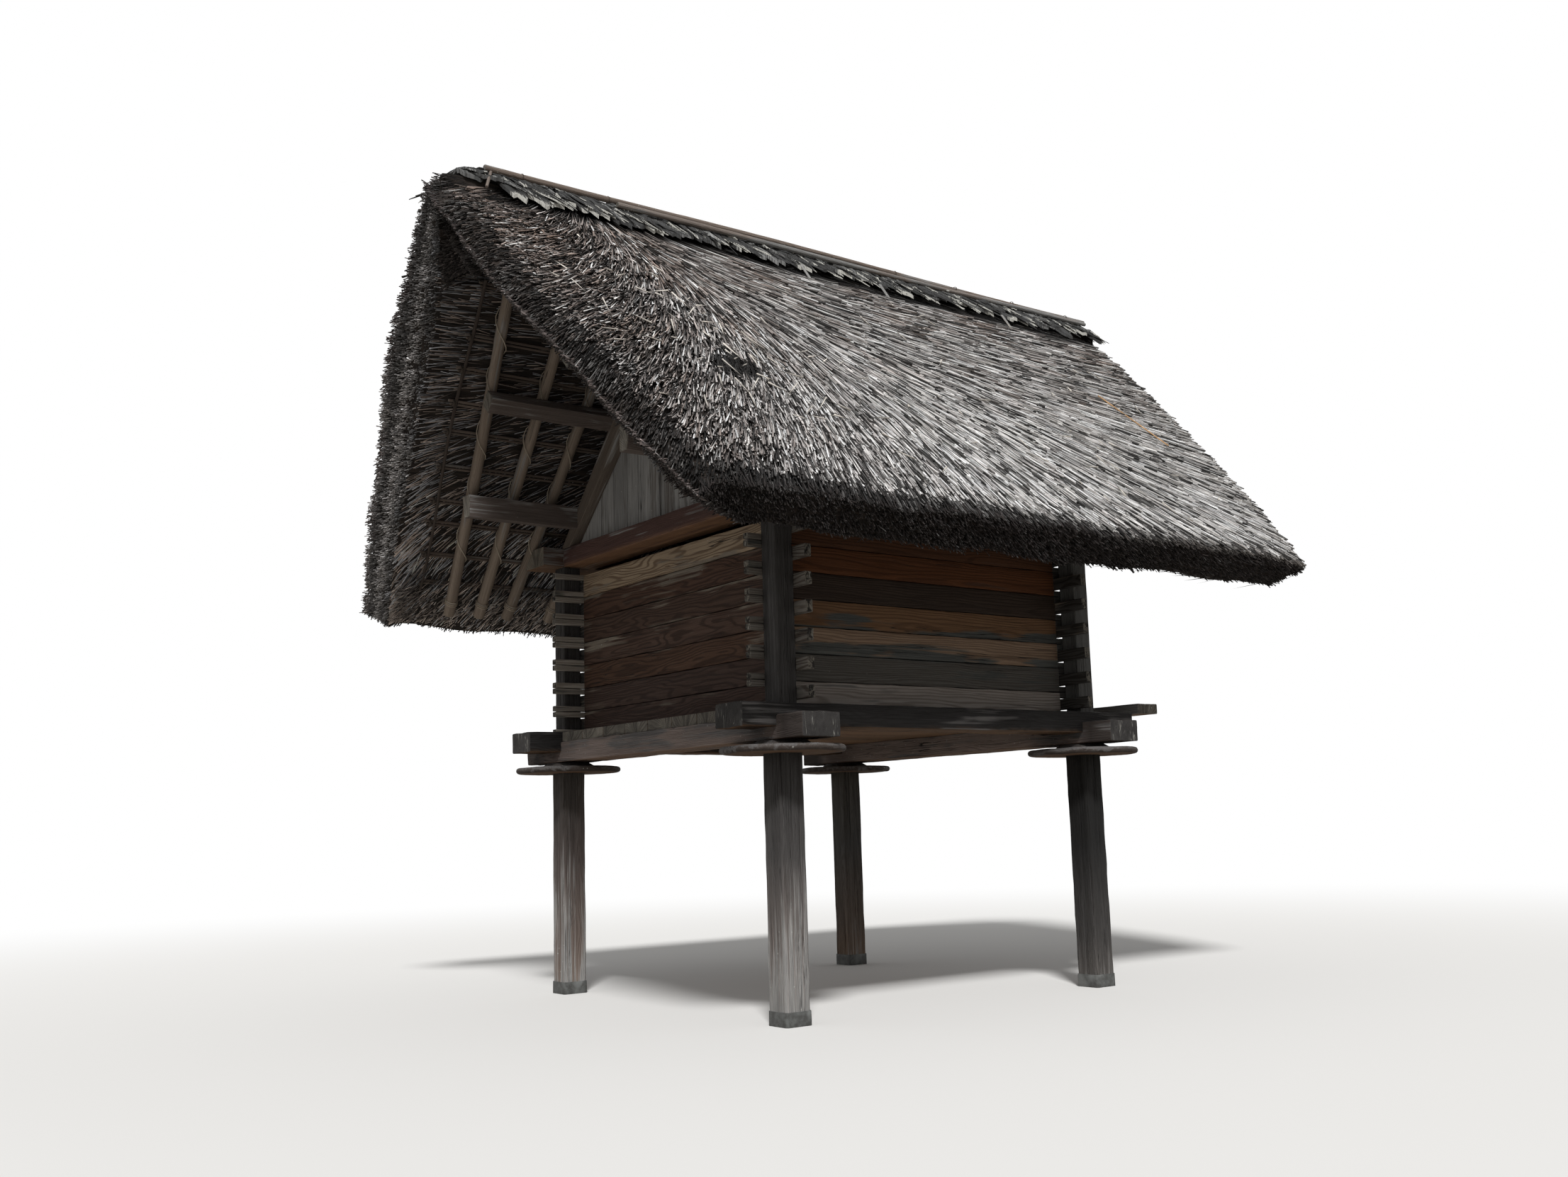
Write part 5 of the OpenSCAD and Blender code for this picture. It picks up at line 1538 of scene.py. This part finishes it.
def slope_colour(x, t, r):
    """Reed colours: dusky and pinkish high up and at the left, silver low down and at the right.

    A share is near white, partly bleached and partly painted highlight. Another share is
    painted dark as shaded reeds, and painted shade lies under the bark, over the gable edges
    and along the eave.
    """
    n = len(x)
    at = np.stack([x, t], -1)
    low = np.clip((t - 0.5) / 2.6, 0, 1)
    right = np.clip((x + 2.9) / 2.6, 0, 1)
    share = 0.08 + 0.62 * low * (0.22 + 0.78 * right) + 0.34 * right
    share = np.clip(share + 0.14 * ripple(at, 0.5, 77) + r.normal(0, 0.22, n), 0, 1)
    colour = DUSK + (PALE - DUSK) * share[:, None]
    pink = np.clip(0.75 - 0.5 * low - 0.42 * right + 0.35 * ripple(at, 0.8, 78), 0, 1) * r.uniform(0.1, 1, n)
    colour = colour * (1 - pink[:, None]) + PINK * pink[:, None]
    # A share of reeds is near white, partly bleached and partly painted highlight; another share is painted
    # dark, as painted shade
    bleached_and_highlit = (r.uniform(0, 1, n) < 0.04 + 0.58 * share)[:, None]
    colour = np.where(bleached_and_highlit, colour * 0.1 + WHITE * 0.9, colour)
    dark = (r.uniform(0, 1, n) < SHADED_REED_SHARE)[:, None]
    colour = np.where(dark, colour * 0.1, colour)
    # Painted shadow of the bark strips on the reeds below them
    bark_shadow_paint = np.where(x < -3.3, 1, np.clip((t - 0.38) / 0.09, 0.08, 1))
    # Painted shade over the rounded gable edge and along the eave
    sine = edge_turn(x, half_at(t / K))
    border = np.where(x < 0, 0.32 + 0.26 * np.clip(1 - t / 0.8, 0, 1), 0.75)
    gable_painted_shade = np.clip((sine - border - 0.25 * ripple(at, 0.14, 79, 7)) / 0.2, 0, 1)
    eave_painted_shade = np.clip((t - SLOPE_T + eave_shade(x) + 0.05 * ripple(at, 0.14, 80, 7)) / 0.05, 0, 1)
    colour = colour * (bark_shadow_paint * (1 - 0.80 * gable_painted_shade) * (1 - 0.85 * eave_painted_shade))[:, None]
    return np.clip(colour * varied(r, n, 0.28), 0, 0.92)


def eave_shade(x):
    """How far up the slope the rounded edge of the eave and its painted shade reach, in metres."""
    return np.interp(x, (-3.1, -2.2, -0.8, 1.4, 3.0), (0.24, 0.17, 0.13, 0.06, 0.02))


print("eave shade", eave_shade(np.array([-3.1, 0.0, 3.0])).round(2))


# %% Reeds of the slopes
# Place of the line that the reeds fan out from, how it moves and how the fan closes down the slope
FAN_X, FAN_SHIFT, FAN_FLOOR, FAN_GROW = -2.6, 0.5, 0.6, 0.22
# Middle and half widths of the dark hole in the front slope
HOLE_X, HOLE_T, HOLE_W, HOLE_H = -2.05, 2.42, 0.21, 0.085
PIT_SHARE, PIT_SHADE = 0.45, 0.035
# Share of the reeds that lie on top of the others as long strands
STRAND = 0.34


def slope_reeds(name, sy, part, parts, count, seed):
    """Reeds of one strip of a slope.

    Direction angle from straight down the slope = atan2(x - fan line, floor + grow * t^2).
    Tips stand at uneven heights about the skin, so that tufts shade the gaps between them."""
    r = np.random.default_rng(seed)
    t = r.uniform(0.16, SLOPE_T + 0.025, count)
    half = half_at(t / K)
    x = arc_to_x(-1 + 2 * (part + r.uniform(0, 1, count)) / parts, half)
    at = np.stack([x, t], -1)
    angle = np.arctan2(x - (FAN_X + FAN_SHIFT * t), FAN_FLOOR + FAN_GROW * t * t)
    left = np.clip(1 - (x + 2.9) / 2.2, 0, 1)
    right = np.clip((x - 0.2) / 2.0, 0, 1)
    top = r.uniform(0, 1, count) < STRAND * (1 - 0.45 * left)
    angle += 0.09 * ripple(at, 0.35, seed + 1) + r.normal(0, 0.045, count) * (1 + 0.9 * left)
    length = r.uniform(0.24, 0.46, count) * (1 - 0.35 * left + 0.35 * right) * np.where(top, 1.3, 1)
    tuft = 0.8 * ripple(at, 0.13, 61, 9) + ripple(at, 0.05, 62, 9)
    lift = -0.012 + 0.014 * tuft + r.normal(0, 0.009, count) + np.where(top, 0.010, 0)
    hole = 0
    for share in (0.0, 0.3, 0.6):
        hole_x = (x - np.sin(angle) * length * share - HOLE_X) / HOLE_W
        hole_t = (t - np.cos(angle) * length * share - HOLE_T) / HOLE_H
        hole = np.maximum(hole, np.exp(-hole_x ** 2 - hole_t ** 2))
    pit = (hole > PIT_SHARE) & (sy < 0)
    under_bark = np.clip((0.46 - t) / 0.12, 0, 1)
    over_eave = np.clip((t - SLOPE_T + eave_shade(x)) / 0.2, 0, 1)
    lift = np.clip(lift - 0.035 * under_bark - 0.03 * over_eave, -0.065, 0.024)
    lift = np.where(pit, -0.006, lift)
    deep = np.where(top, 0.012, r.uniform(0.028, 0.055, count) * (1 + 0.5 * left))
    tip = skin(x, t, lift)
    back_x = x - np.sin(angle) * length
    back_t = t - np.cos(angle) * length
    root = skin(np.clip(back_x, -half, half), np.maximum(back_t, 0.02), -deep)
    ragged = (r.uniform(size=count) < 0.4) & (x > half - 0.12)
    tip[:, 0] += np.where(ragged, r.uniform(0, 0.055, count), 0)
    width = r.uniform(0.012, 0.021, count) * (1 - 0.2 * left) * np.where(top, 1.15, 1)
    colour = slope_colour(x, t, r) * np.where(pit, PIT_SHADE, 1)[:, None]
    lay(name, root, tip, width, colour, seed + 5, (1, sy, 1))


for i in range(4):
    slope_reeds(f"reeds_front_{i + 1}", -1, i, 4, 14500, 2000 + 10 * i)
for i in range(2):
    slope_reeds(f"reeds_back_{i + 1}", 1, i, 2, 11000, 2100 + 10 * i)

# %% [markdown]
# ## Reeds of the edges
#
# At the gables, the peaks and the eaves the reeds show their cut ends. They
# could be a bumpy sheet, but against the sky an edge of thatch is ragged. So
# they are spikes again, each pushed out of the edge face by its own length.

# %% Reeds of the gable edges
# The front slope's gable edge face is painted near black as painted shade, and its outer rim gets painted
# light
VERGE_PAINTED_SHADE, VERGE_BACK = [0.032, 0.026, 0.024], np.array([0.30, 0.285, 0.28])
VERGE_PAINTED_LIGHT, FLUFF = np.array([0.12, 0.10, 0.095]), np.array([0.14, 0.14, 0.145])


def pushed_out(face, way, poke, length):
    """Roots and tips of reeds that stand out of a face by poke; length is that of the whole reed."""
    tip = face + way * poke[:, None]
    return tip - way * length[:, None], tip


def verge_reeds(name, sx, count, seed):
    """Cut ends that face out of one gable edge, on both slopes.

    A place on the edge face is a mix, by depth share d, of the outer skin's
    sunk edge and the inner skin's lip. At the lip a fringe hangs out further."""
    r = np.random.default_rng(seed)
    down = r.uniform(0.0, 0.999, count)
    d = r.uniform(0, 1, count)
    sy = np.where(r.uniform(size=count) < 0.55, -1, 1)
    one = np.ones(count)
    ring = sx * RINGS * one
    upper = on_grid(OUTER, ring, down) - NORMAL * (VERGE_DROP * 0.95)
    lower = under_skin(sy, ring, down)
    face = upper * (1 - d[:, None]) + lower * d[:, None]
    flip = np.stack([one, sy, one], -1)
    at = face * flip
    fringe = (d > 0.90) & (r.uniform(size=count) < 0.5)
    poke = 0.010 + 0.022 * ripple(at, 0.09, seed + 1, 9) + 0.014 * ripple(at, 0.3, seed + 3)
    poke += r.normal(0, 0.010, count) + fringe * r.uniform(0, 0.04, count)
    out = unit(np.stack([sx * one, 0.22 * r.normal(size=count) + 0.15 * down,
                         -0.10 - 0.45 * d + 0.25 * r.normal(size=count)], -1))
    root, tip = pushed_out(face, out, np.clip(poke, -0.02, 0.07), r.uniform(0.10, 0.26, count))
    # Painted light on the outer rim of the edge face, fading into the painted shade
    light = np.clip(1 - d * 5 + 0.5 * ripple(at, 0.2, seed + 4), 0, 1)[:, None]
    fluff = np.clip((d - 0.80) / 0.15, 0, 1) * np.clip(0.1 + 1.5 * ripple(at, 0.25, seed + 5), 0, 1)
    zone = np.clip(0.8 + 0.45 * np.cos(d * 11), 0.4, 1.2)[:, None]
    base = np.where((sy < 0)[:, None], VERGE_PAINTED_SHADE, VERGE_BACK * zone)
    colour = base * (1 - light) + VERGE_PAINTED_LIGHT * light
    colour = colour * np.interp(down, (0.0, 0.12, 0.55), (0.42, 0.5, 1.0))[:, None]
    colour = colour * (1 - fluff[:, None]) + FLUFF * fluff[:, None]
    colour = speckled(r, colour, 0.12, 0.4, 0.09, 0.45)
    lay(name, root, tip, r.uniform(0.009, 0.016, count), np.clip(colour, 0, 0.9), seed + 2, flip)


verge_reeds("reeds_left_gable", -1, 18500, 2200)
verge_reeds("reeds_right_gable", 1, 8500, 2210)


# %% Crowns under the gable peaks
CROWN_HALF, CROWN_SIDE = 0.24, 0.36
# Crown reeds are painted near black, as painted shade in the hollow under the peak
CROWN_PAINTED_SHADE = np.array([0.034, 0.029, 0.027])


def crown_reeds(name, sx, count, seed):
    """Reeds that close the corner where the two slopes meet at one gable.

    Depth under the peak = rise * (sqrt(y^2 + half^2) - |y|), so that the
    opening ends in a round arch instead of a sharp corner."""
    r = np.random.default_rng(seed)
    peak = on_grid(INNER[-1], [sx * RINGS], [0])[0]
    y = r.uniform(-1, 1, count) * CROWN_SIDE
    d = 1 - r.uniform(0, 1, count) ** 1.6
    most = RISE * (np.sqrt(y * y + CROWN_HALF ** 2) - np.abs(y))
    depth = d * most + 0.02 * ripple(np.stack([y, y * 0], -1), 0.07, seed + 1, 9)
    face = np.stack([peak[0] - sx * 0.9 * depth, y, peak[2] - RISE * np.abs(y) - depth], -1)
    out = unit(np.stack([sx * np.ones(count), 0.25 * r.normal(size=count),
                         -0.35 - 0.6 * d + 0.25 * r.normal(size=count)], -1))
    poke = np.clip(0.012 + r.normal(0, 0.014, count), -0.02, 0.045)
    root, tip = pushed_out(face, out, poke, r.uniform(0.14, 0.28, count))
    root[:, 2] = np.maximum(root[:, 2], tip[:, 2] + 0.03)
    colour = CROWN_PAINTED_SHADE * varied(r, count, 0.5)
    lay(name, root, tip, r.uniform(0.010, 0.018, count), colour, seed + 2)


crown_reeds("reeds_left_peak", -1, 2200, 2220)
crown_reeds("reeds_right_peak", 1, 1600, 2230)


# %% Reeds of the eaves
# The face under the eave is painted near black as painted shade, with painted light on its upper rim
EAVE_BACK, EAVE_PAINTED_SHADE = [0.38, 0.33, 0.30], [0.024, 0.020, 0.019]
EAVE_PAINTED_LIGHT = np.array([0.24, 0.22, 0.205])


def eave_reeds(name, sy, count, seed):
    """Cut ends on the face under the eave, and on the flatter skin behind it."""
    r = np.random.default_rng(seed)
    ring = r.uniform(-1, 1, count) * RINGS
    d = r.uniform(0, 1, count)
    behind = r.uniform(size=count) < 0.45
    one = np.ones(count)
    upper, lip = on_grid(OUTER, ring, one), on_grid(INNER[sy], ring, one)
    bend = on_grid(INNER[sy], ring, one * (ROWS - 1) / ROWS)
    sine = edge_turn(upper[:, 0], EAVE_HALF)
    upper = upper - NORMAL * (VERGE_DROP * (1 - np.sqrt(1 - sine ** 2)))[:, None]
    face = np.where(behind[:, None], lip + (bend - lip) * d[:, None], upper + (lip - upper) * d[:, None])
    way = unit(np.stack([0.35 * ring / RINGS + 0.2 * r.normal(size=count), np.where(behind, 0.9, 0.72),
                         np.where(behind, -0.45, -0.75) + 0.2 * r.normal(size=count)], -1))
    poke = np.where(behind, 0.006, 0.016) + 0.020 * ripple(face, 0.10, seed + 1, 9)
    poke += r.normal(0, 0.010, count)
    poke += np.where(behind, 0, 0.045 * d * np.exp(-((upper[:, 0] + 0.5) / 1.7) ** 2))
    long = (r.uniform(size=count) < 0.012) & ~behind
    poke = np.where(long, poke + r.uniform(0.01, 0.05, count), poke)
    root, tip = pushed_out(face, way, np.clip(poke, -0.01, 0.08), r.uniform(0.12, 0.28, count))
    # Painted light on the upper rim of the eave face, left out where the eave's painted shade reaches
    light = (np.clip(1 - d * 6, 0, 1) * ~behind * np.clip(1.2 - 12 * eave_shade(upper[:, 0]), 0, 1))[:, None]
    deep = np.where((behind & (sy > 0))[:, None], EAVE_BACK, EAVE_PAINTED_SHADE)
    colour = speckled(r, deep * (1 - light) + EAVE_PAINTED_LIGHT * light, 0.05, 0.5, 0.05, 0.4)
    lay(name, root, tip, r.uniform(0.008, 0.015, count), colour, seed + 2, (1, sy, 1))


eave_reeds("reeds_front_eave", -1, 12500, 2220)
eave_reeds("reeds_back_eave", 1, 6500, 2230)

# %% [markdown]
# ## Reeds of the underside
#
# Seen from below the reeds run out to the gables in bundles, brown above and
# paler low down, with dark gaps between them. A striped material would look
# flat under the poles, so these are spikes too, held close to the inner skin.

# %% Underside
LIP_WAY = np.array([0.0, 0.86, -0.51])
UNDER_PAINT, UNDER_GREY = np.array([0.25, 0.205, 0.180]), np.array([1.05, 1.06, 1.12])
r = np.random.default_rng(2300)
count = 18000
ring = r.uniform(-1, 1, count) * RINGS
sy = np.where(r.uniform(size=count) < 0.5, -1, 1)
down = r.uniform(2.2 / ROWS, 1 - (sy < 0) / ROWS, count)
tip = under_skin(sy, ring, down)
share = np.abs(ring) / RINGS
turn = 0.08 + 1.25 * np.clip((down - 0.35) / 0.6, 0, 1) ** 1.3 + 0.12 * r.normal(size=count)
low = np.where((down > 1 - 1 / ROWS)[:, None], LIP_WAY, DOWN)
way = (np.sign(ring) * np.cos(turn))[:, None] * np.array([1.0, 0, 0]) + np.sin(turn)[:, None] * low
bundle = ripple(tip * [0.35, 1, 1], 0.11, 2303, 7)
hang = 0.002 + 0.005 * r.uniform(size=count) + 0.004 * bundle
tip = tip - NORMAL * hang[:, None] + way * np.where(share > 0.97, 0.03, 0.0)[:, None]
root = tip - way * r.uniform(0.3, 0.6, count)[:, None] + NORMAL * 0.016
colour = UNDER_PAINT * np.exp(r.normal(0, 0.42, count) + 0.3 * bundle)[:, None]
grey = (r.uniform(size=count) < 0.55)[:, None]
colour = np.where(grey, colour.mean(axis=1, keepdims=True) * UNDER_GREY, colour)
colour = colour * (1 + np.clip((down - 0.5) / 0.4, 0, 1))[:, None]
colour = np.where(((sy < 0) & (share > 0.88))[:, None], colour * 0.22, colour)
flip = np.stack([np.ones(count), sy, np.ones(count)], -1)
lay("reeds_underside", root, tip, r.uniform(0.008, 0.016, count), np.clip(colour, 0.01, 0.7), 2302, flip,
    flat=0.5)

# %% [markdown]
# ## Loose stalks
#
# Stalks have come loose on the front slope, half of them near the dark hole.
# They lie on the reeds at any angle, so only chance places them.

# %% Loose stalks
STALKS, NEAR_HOLE, LONG_STALKS = 110, 55, 18
STALK_PAINT, ORANGE = np.array([0.74, 0.69, 0.62]), (0.55, 0.33, 0.16)
r = np.random.default_rng(2400)
x = r.uniform(-3.4, 3.0, STALKS)
x[:NEAR_HOLE] = HOLE_X + r.normal(0, 0.45, NEAR_HOLE)
t = r.uniform(0.5, 3.7, STALKS)
t[:NEAR_HOLE] = HOLE_T - 0.2 + r.normal(0, 0.5, NEAR_HOLE)
x = np.clip(x, -half_at(t / K) + 0.35, half_at(t / K) - 0.35)
turn = r.uniform(0, 2 * math.pi, STALKS)
turn[:LONG_STALKS] = math.pi + r.normal(0, 0.5, LONG_STALKS)
length = r.uniform(0.08, 0.30, STALKS)
length[:LONG_STALKS] = r.uniform(0.22, 0.42, LONG_STALKS)
way = np.sin(turn)[:, None] * np.array([1.0, 0, 0]) + np.cos(turn)[:, None] * DOWN
way += NORMAL * r.uniform(0.02, 0.14, STALKS)[:, None]
mid = skin(x, t, 0.026 + 0 * x)
root, tip = mid - way * length[:, None] / 2, mid + way * length[:, None] / 2
colour = STALK_PAINT * varied(r, STALKS, 0.15)
FRONT = [1, -1, 1]
batch = Batch()
spikes(batch, root * FRONT, tip * FRONT, r.uniform(0.014, 0.022, STALKS), colour, 2401)
orange = skin(np.array([2.42, 2.67]), np.array([1.63, 2.44]), np.array([0.022, 0.03])) * FRONT
path = orange[0] + np.linspace(0, 1, 6)[:, None] * (orange[1] - orange[0])
tube(batch, path, 0.006, 5, tone=1.0, paint=ORANGE)
batch.build("loose_stalks", thatch_reed, "thatch", sharp=0)

# %% [markdown]
# ## Ridge
#
# Strips of bark lie across the ridge in layers. Their ends are torn into
# splinters and throw a deep shadow on the reeds, which is also painted onto
# the reeds below them. Cloth could drape them, but stiff bark bends by a
# simple curve, so each strip is a small grid bent over the crest, with its
# own length for every column.

# %% Bark finish
BARK_BROWN, BARK_GREY, BARK_FRAY = (0.020, 0.018, 0.016), (0.045, 0.046, 0.045), (0.50, 0.49, 0.45)
bark = Finish("bark_skin", 0.92)
grain, paint, frayed = bark.read("grain", "Vector"), bark.read("paint", "Color"), bark.read("grey")
fibre = bark.drawn(grain, (9, 150, 150), 4.0, 0.65)
patch = bark.drawn(grain, (4, 14, 14), 3.0, 0.6)
tint = bark.mix(bark.ease(fibre, 0.35, 0.65), BARK_BROWN, paint)
tint = bark.mix(bark.ease(patch, 0.5, 0.62, 0.0, 0.7), tint, BARK_GREY)
worn = bark.math("ADD", frayed, bark.ease(fibre, 0.3, 0.7, -0.35, 0.35))
tint = bark.mix(bark.ease(worn, 0.55, 0.9), tint, BARK_FRAY)
bark.bump(fibre, 0.006)
bark_skin = bark.finish(tint, bark.ease(fibre, 0.3, 0.7, 0.75, 0.97))
print("bark finish", bark_skin.name)

# %% One strip of bark
BARK_REACH, BARK_T, BARK_FLAT = 0.26, 0.06, 0.036
BARK_Z = OUTER_ZR - 0.03 * THATCH_T
BARK_FROM, BARK_TO = -0.924 * RIDGE_HALF, 0.975 * RIDGE_HALF
STRIP_ROWS, STRIP_COLS = 11, 4
# Most strips are dark, the others pale
STRIP_DARK, STRIP_PALE, DARK_STRIPS = np.array([0.064, 0.065, 0.066]), np.array([0.25, 0.25, 0.245]), 0.74


def bark_strip(batch, x, half_width, down_front, down_back, layer, yaw, seed, thick):
    """A torn strip bent over the ridge, from its front end to its back end.

    Height over the ridge = layer - rise * (sqrt(y^2 + flat^2) - flat): a slope
    with a rounded crest. Each column of the grid ends at its own length."""
    r = np.random.default_rng(seed)
    rows, cols = STRIP_ROWS, STRIP_COLS
    s = np.linspace(-1, 1, rows)[:, None]
    w = np.linspace(-1, 1, cols)[None, :]
    torn = r.uniform(0.62, 1.0, (2, cols))
    y = s * np.where(s < 0, down_front * torn[0][None], down_back * torn[1][None])
    gx = x + w * half_width * (1 - 0.5 * np.abs(s) ** 3) + y * math.tan(yaw)
    curl = 0.004 * r.normal(size=(rows, cols)) + 0.016 * np.abs(s) ** 3 * r.normal()
    z = BARK_Z + layer - RISE * (np.sqrt(y * y + BARK_FLAT ** 2) - BARK_FLAT) + curl
    top = np.stack([gx, y, z], -1)
    low = top - [0, 0, thick]
    grain = np.stack([y + 0 * gx + seed, gx - x, 0 * gx], -1)
    i, j = np.meshgrid(np.arange(rows - 1), np.arange(cols - 1), indexing="ij")
    a = (i * cols + j).ravel()
    m = rows * cols
    upper = np.stack([a, a + 1, a + cols + 1, a + cols], -1)
    lower = upper[:, ::-1] + m
    rim = np.concatenate([np.arange(cols), np.arange(1, rows) * cols + cols - 1,
                          (rows - 1) * cols + np.arange(cols - 2, -1, -1), np.arange(rows - 2, 0, -1) * cols])
    nxt = np.roll(rim, -1)
    walls = np.stack([rim, rim + m, nxt + m, nxt], -1)
    shade = r.uniform(0.4, 1.5)
    colour = (STRIP_DARK if r.uniform() < DARK_STRIPS else STRIP_PALE) * shade
    frayed = np.broadcast_to(0.05 + r.choice([0.2, 0.95]) * np.abs(s) ** 5, (rows, cols)).ravel()
    batch.add(np.concatenate([top.reshape(-1, 3), low.reshape(-1, 3)]),
              np.concatenate([upper, lower, walls]), np.concatenate([grain.reshape(-1, 3)] * 2),
              r.uniform(), np.tile(frayed, 2), 0.0, np.clip(colour, 0, 0.6))


print("bark from", round(BARK_FROM, 2), "to", round(BARK_TO, 2))


# %% Layers of bark
def front_reach(x):
    """How far strips at x hang down in front: less close to the bark's left end."""
    return BARK_REACH * min(1, max(0.3, (x - BARK_FROM - 0.1) / 0.25))


batch = Batch()
r = np.random.default_rng(2500)
wide = np.linspace(BARK_FROM + 0.1, BARK_TO - 0.1, 46)
for i, x in enumerate(wide):
    bark_strip(batch, x, 0.115, front_reach(x) * r.uniform(0.62, 1.08), BARK_REACH * r.uniform(0.88, 1.1),
               0.034 + 0.006 * (i % 2), r.uniform(-0.3, 0.0), 2510 + i, 0.03)
thin = r.uniform(BARK_FROM + 0.05, BARK_TO - 0.05, 340)
for i, x in enumerate(thin):
    bark_strip(batch, x, r.uniform(0.010, 0.038), front_reach(x) * r.uniform(0.35, 1.18),
               BARK_REACH * r.uniform(0.4, 1.24), r.uniform(0.044, 0.072),
               -min(r.uniform(0.35, 1.15), math.atan((BARK_TO - x) / 0.3)), 2600 + i, 0.007)
batch.build("bark_strips", bark_skin, "bark", ("ridge_bark",), sharp=30)

# %% [markdown]
# ## Ridge poles
#
# Two natural poles lie on the bark and hold it down, tied by thin loops, with
# a few chips of bark hanging beside them. They are the sticks and cords of
# the roof again.

# %% Ridge poles
TOP_POLE = 0.054
TOP_Z = BARK_Z + BARK_T + 0.17 * BARK_T + TOP_POLE / 2
LOW_POLE = 0.86 * TOP_POLE
LOW_Y = BARK_FLAT + 0.8 * TOP_POLE
LOW_Z = TOP_Z - TOP_POLE / 2 - 1.02 * RISE * (LOW_Y - BARK_FLAT) + LOW_POLE / 2 * K
TOP_PAINT, LOW_PAINT = (0.17, 0.14, 0.12), (0.25, 0.22, 0.20)
LOOP_PAINT, STICK_PAINT, CHIP_PAINT = (0.16, 0.13, 0.11), (0.2, 0.17, 0.15), (0.50, 0.47, 0.42)
batch = Batch()
natural(batch, (-0.865 * RIDGE_HALF, 0, TOP_Z), (0.965 * RIDGE_HALF, 0, TOP_Z), TOP_POLE * 0.5,
        TOP_POLE * 0.42, 3001, step=0.08, grey=0.45, paint=TOP_PAINT)
low_ends = (-0.562 * RIDGE_HALF, -LOW_Y - 0.026, LOW_Z - 0.034), (0.947 * RIDGE_HALF, -LOW_Y, LOW_Z - 0.014)
natural(batch, *low_ends, LOW_POLE * 0.5, LOW_POLE * 0.38, 3002, wander=0.014, step=0.08, grey=0.6,
        paint=LOW_PAINT)
for x in np.linspace(-2.9, 3.3, 9):
    tie(batch, np.array([x, 0, TOP_Z]), TOP_POLE * 0.54, 0.0022, 10, 4, paint=LOOP_PAINT)
stick = np.array([[-3.17, -0.02, TOP_Z - 0.03], [-3.30, -0.22, TOP_Z - 0.26]])
path = stick[0] + np.linspace(0, 1, 4)[:, None] * (stick[1] - stick[0])
tube(batch, path, 0.012, 7, paint=STICK_PAINT)
for i, x in enumerate((-0.35, 0.55, 2.10)):
    hung = skin(np.array([x, x + 0.03]), np.array([0.33, 0.50]), np.array([0.07, 0.03])) * FRONT
    bar(batch, hung[0], hung[1], rectangle(0.032, 0.006, 0.002, 0.02), 3050 + i, side=ALONG_X, wear=0.002,
        step=0.04, grey=0.9, paint=CHIP_PAINT)
batch.build("ridge_pole_pair", ridge_pole_wood, "ridge_pole_wood", ("ridge_poles",))
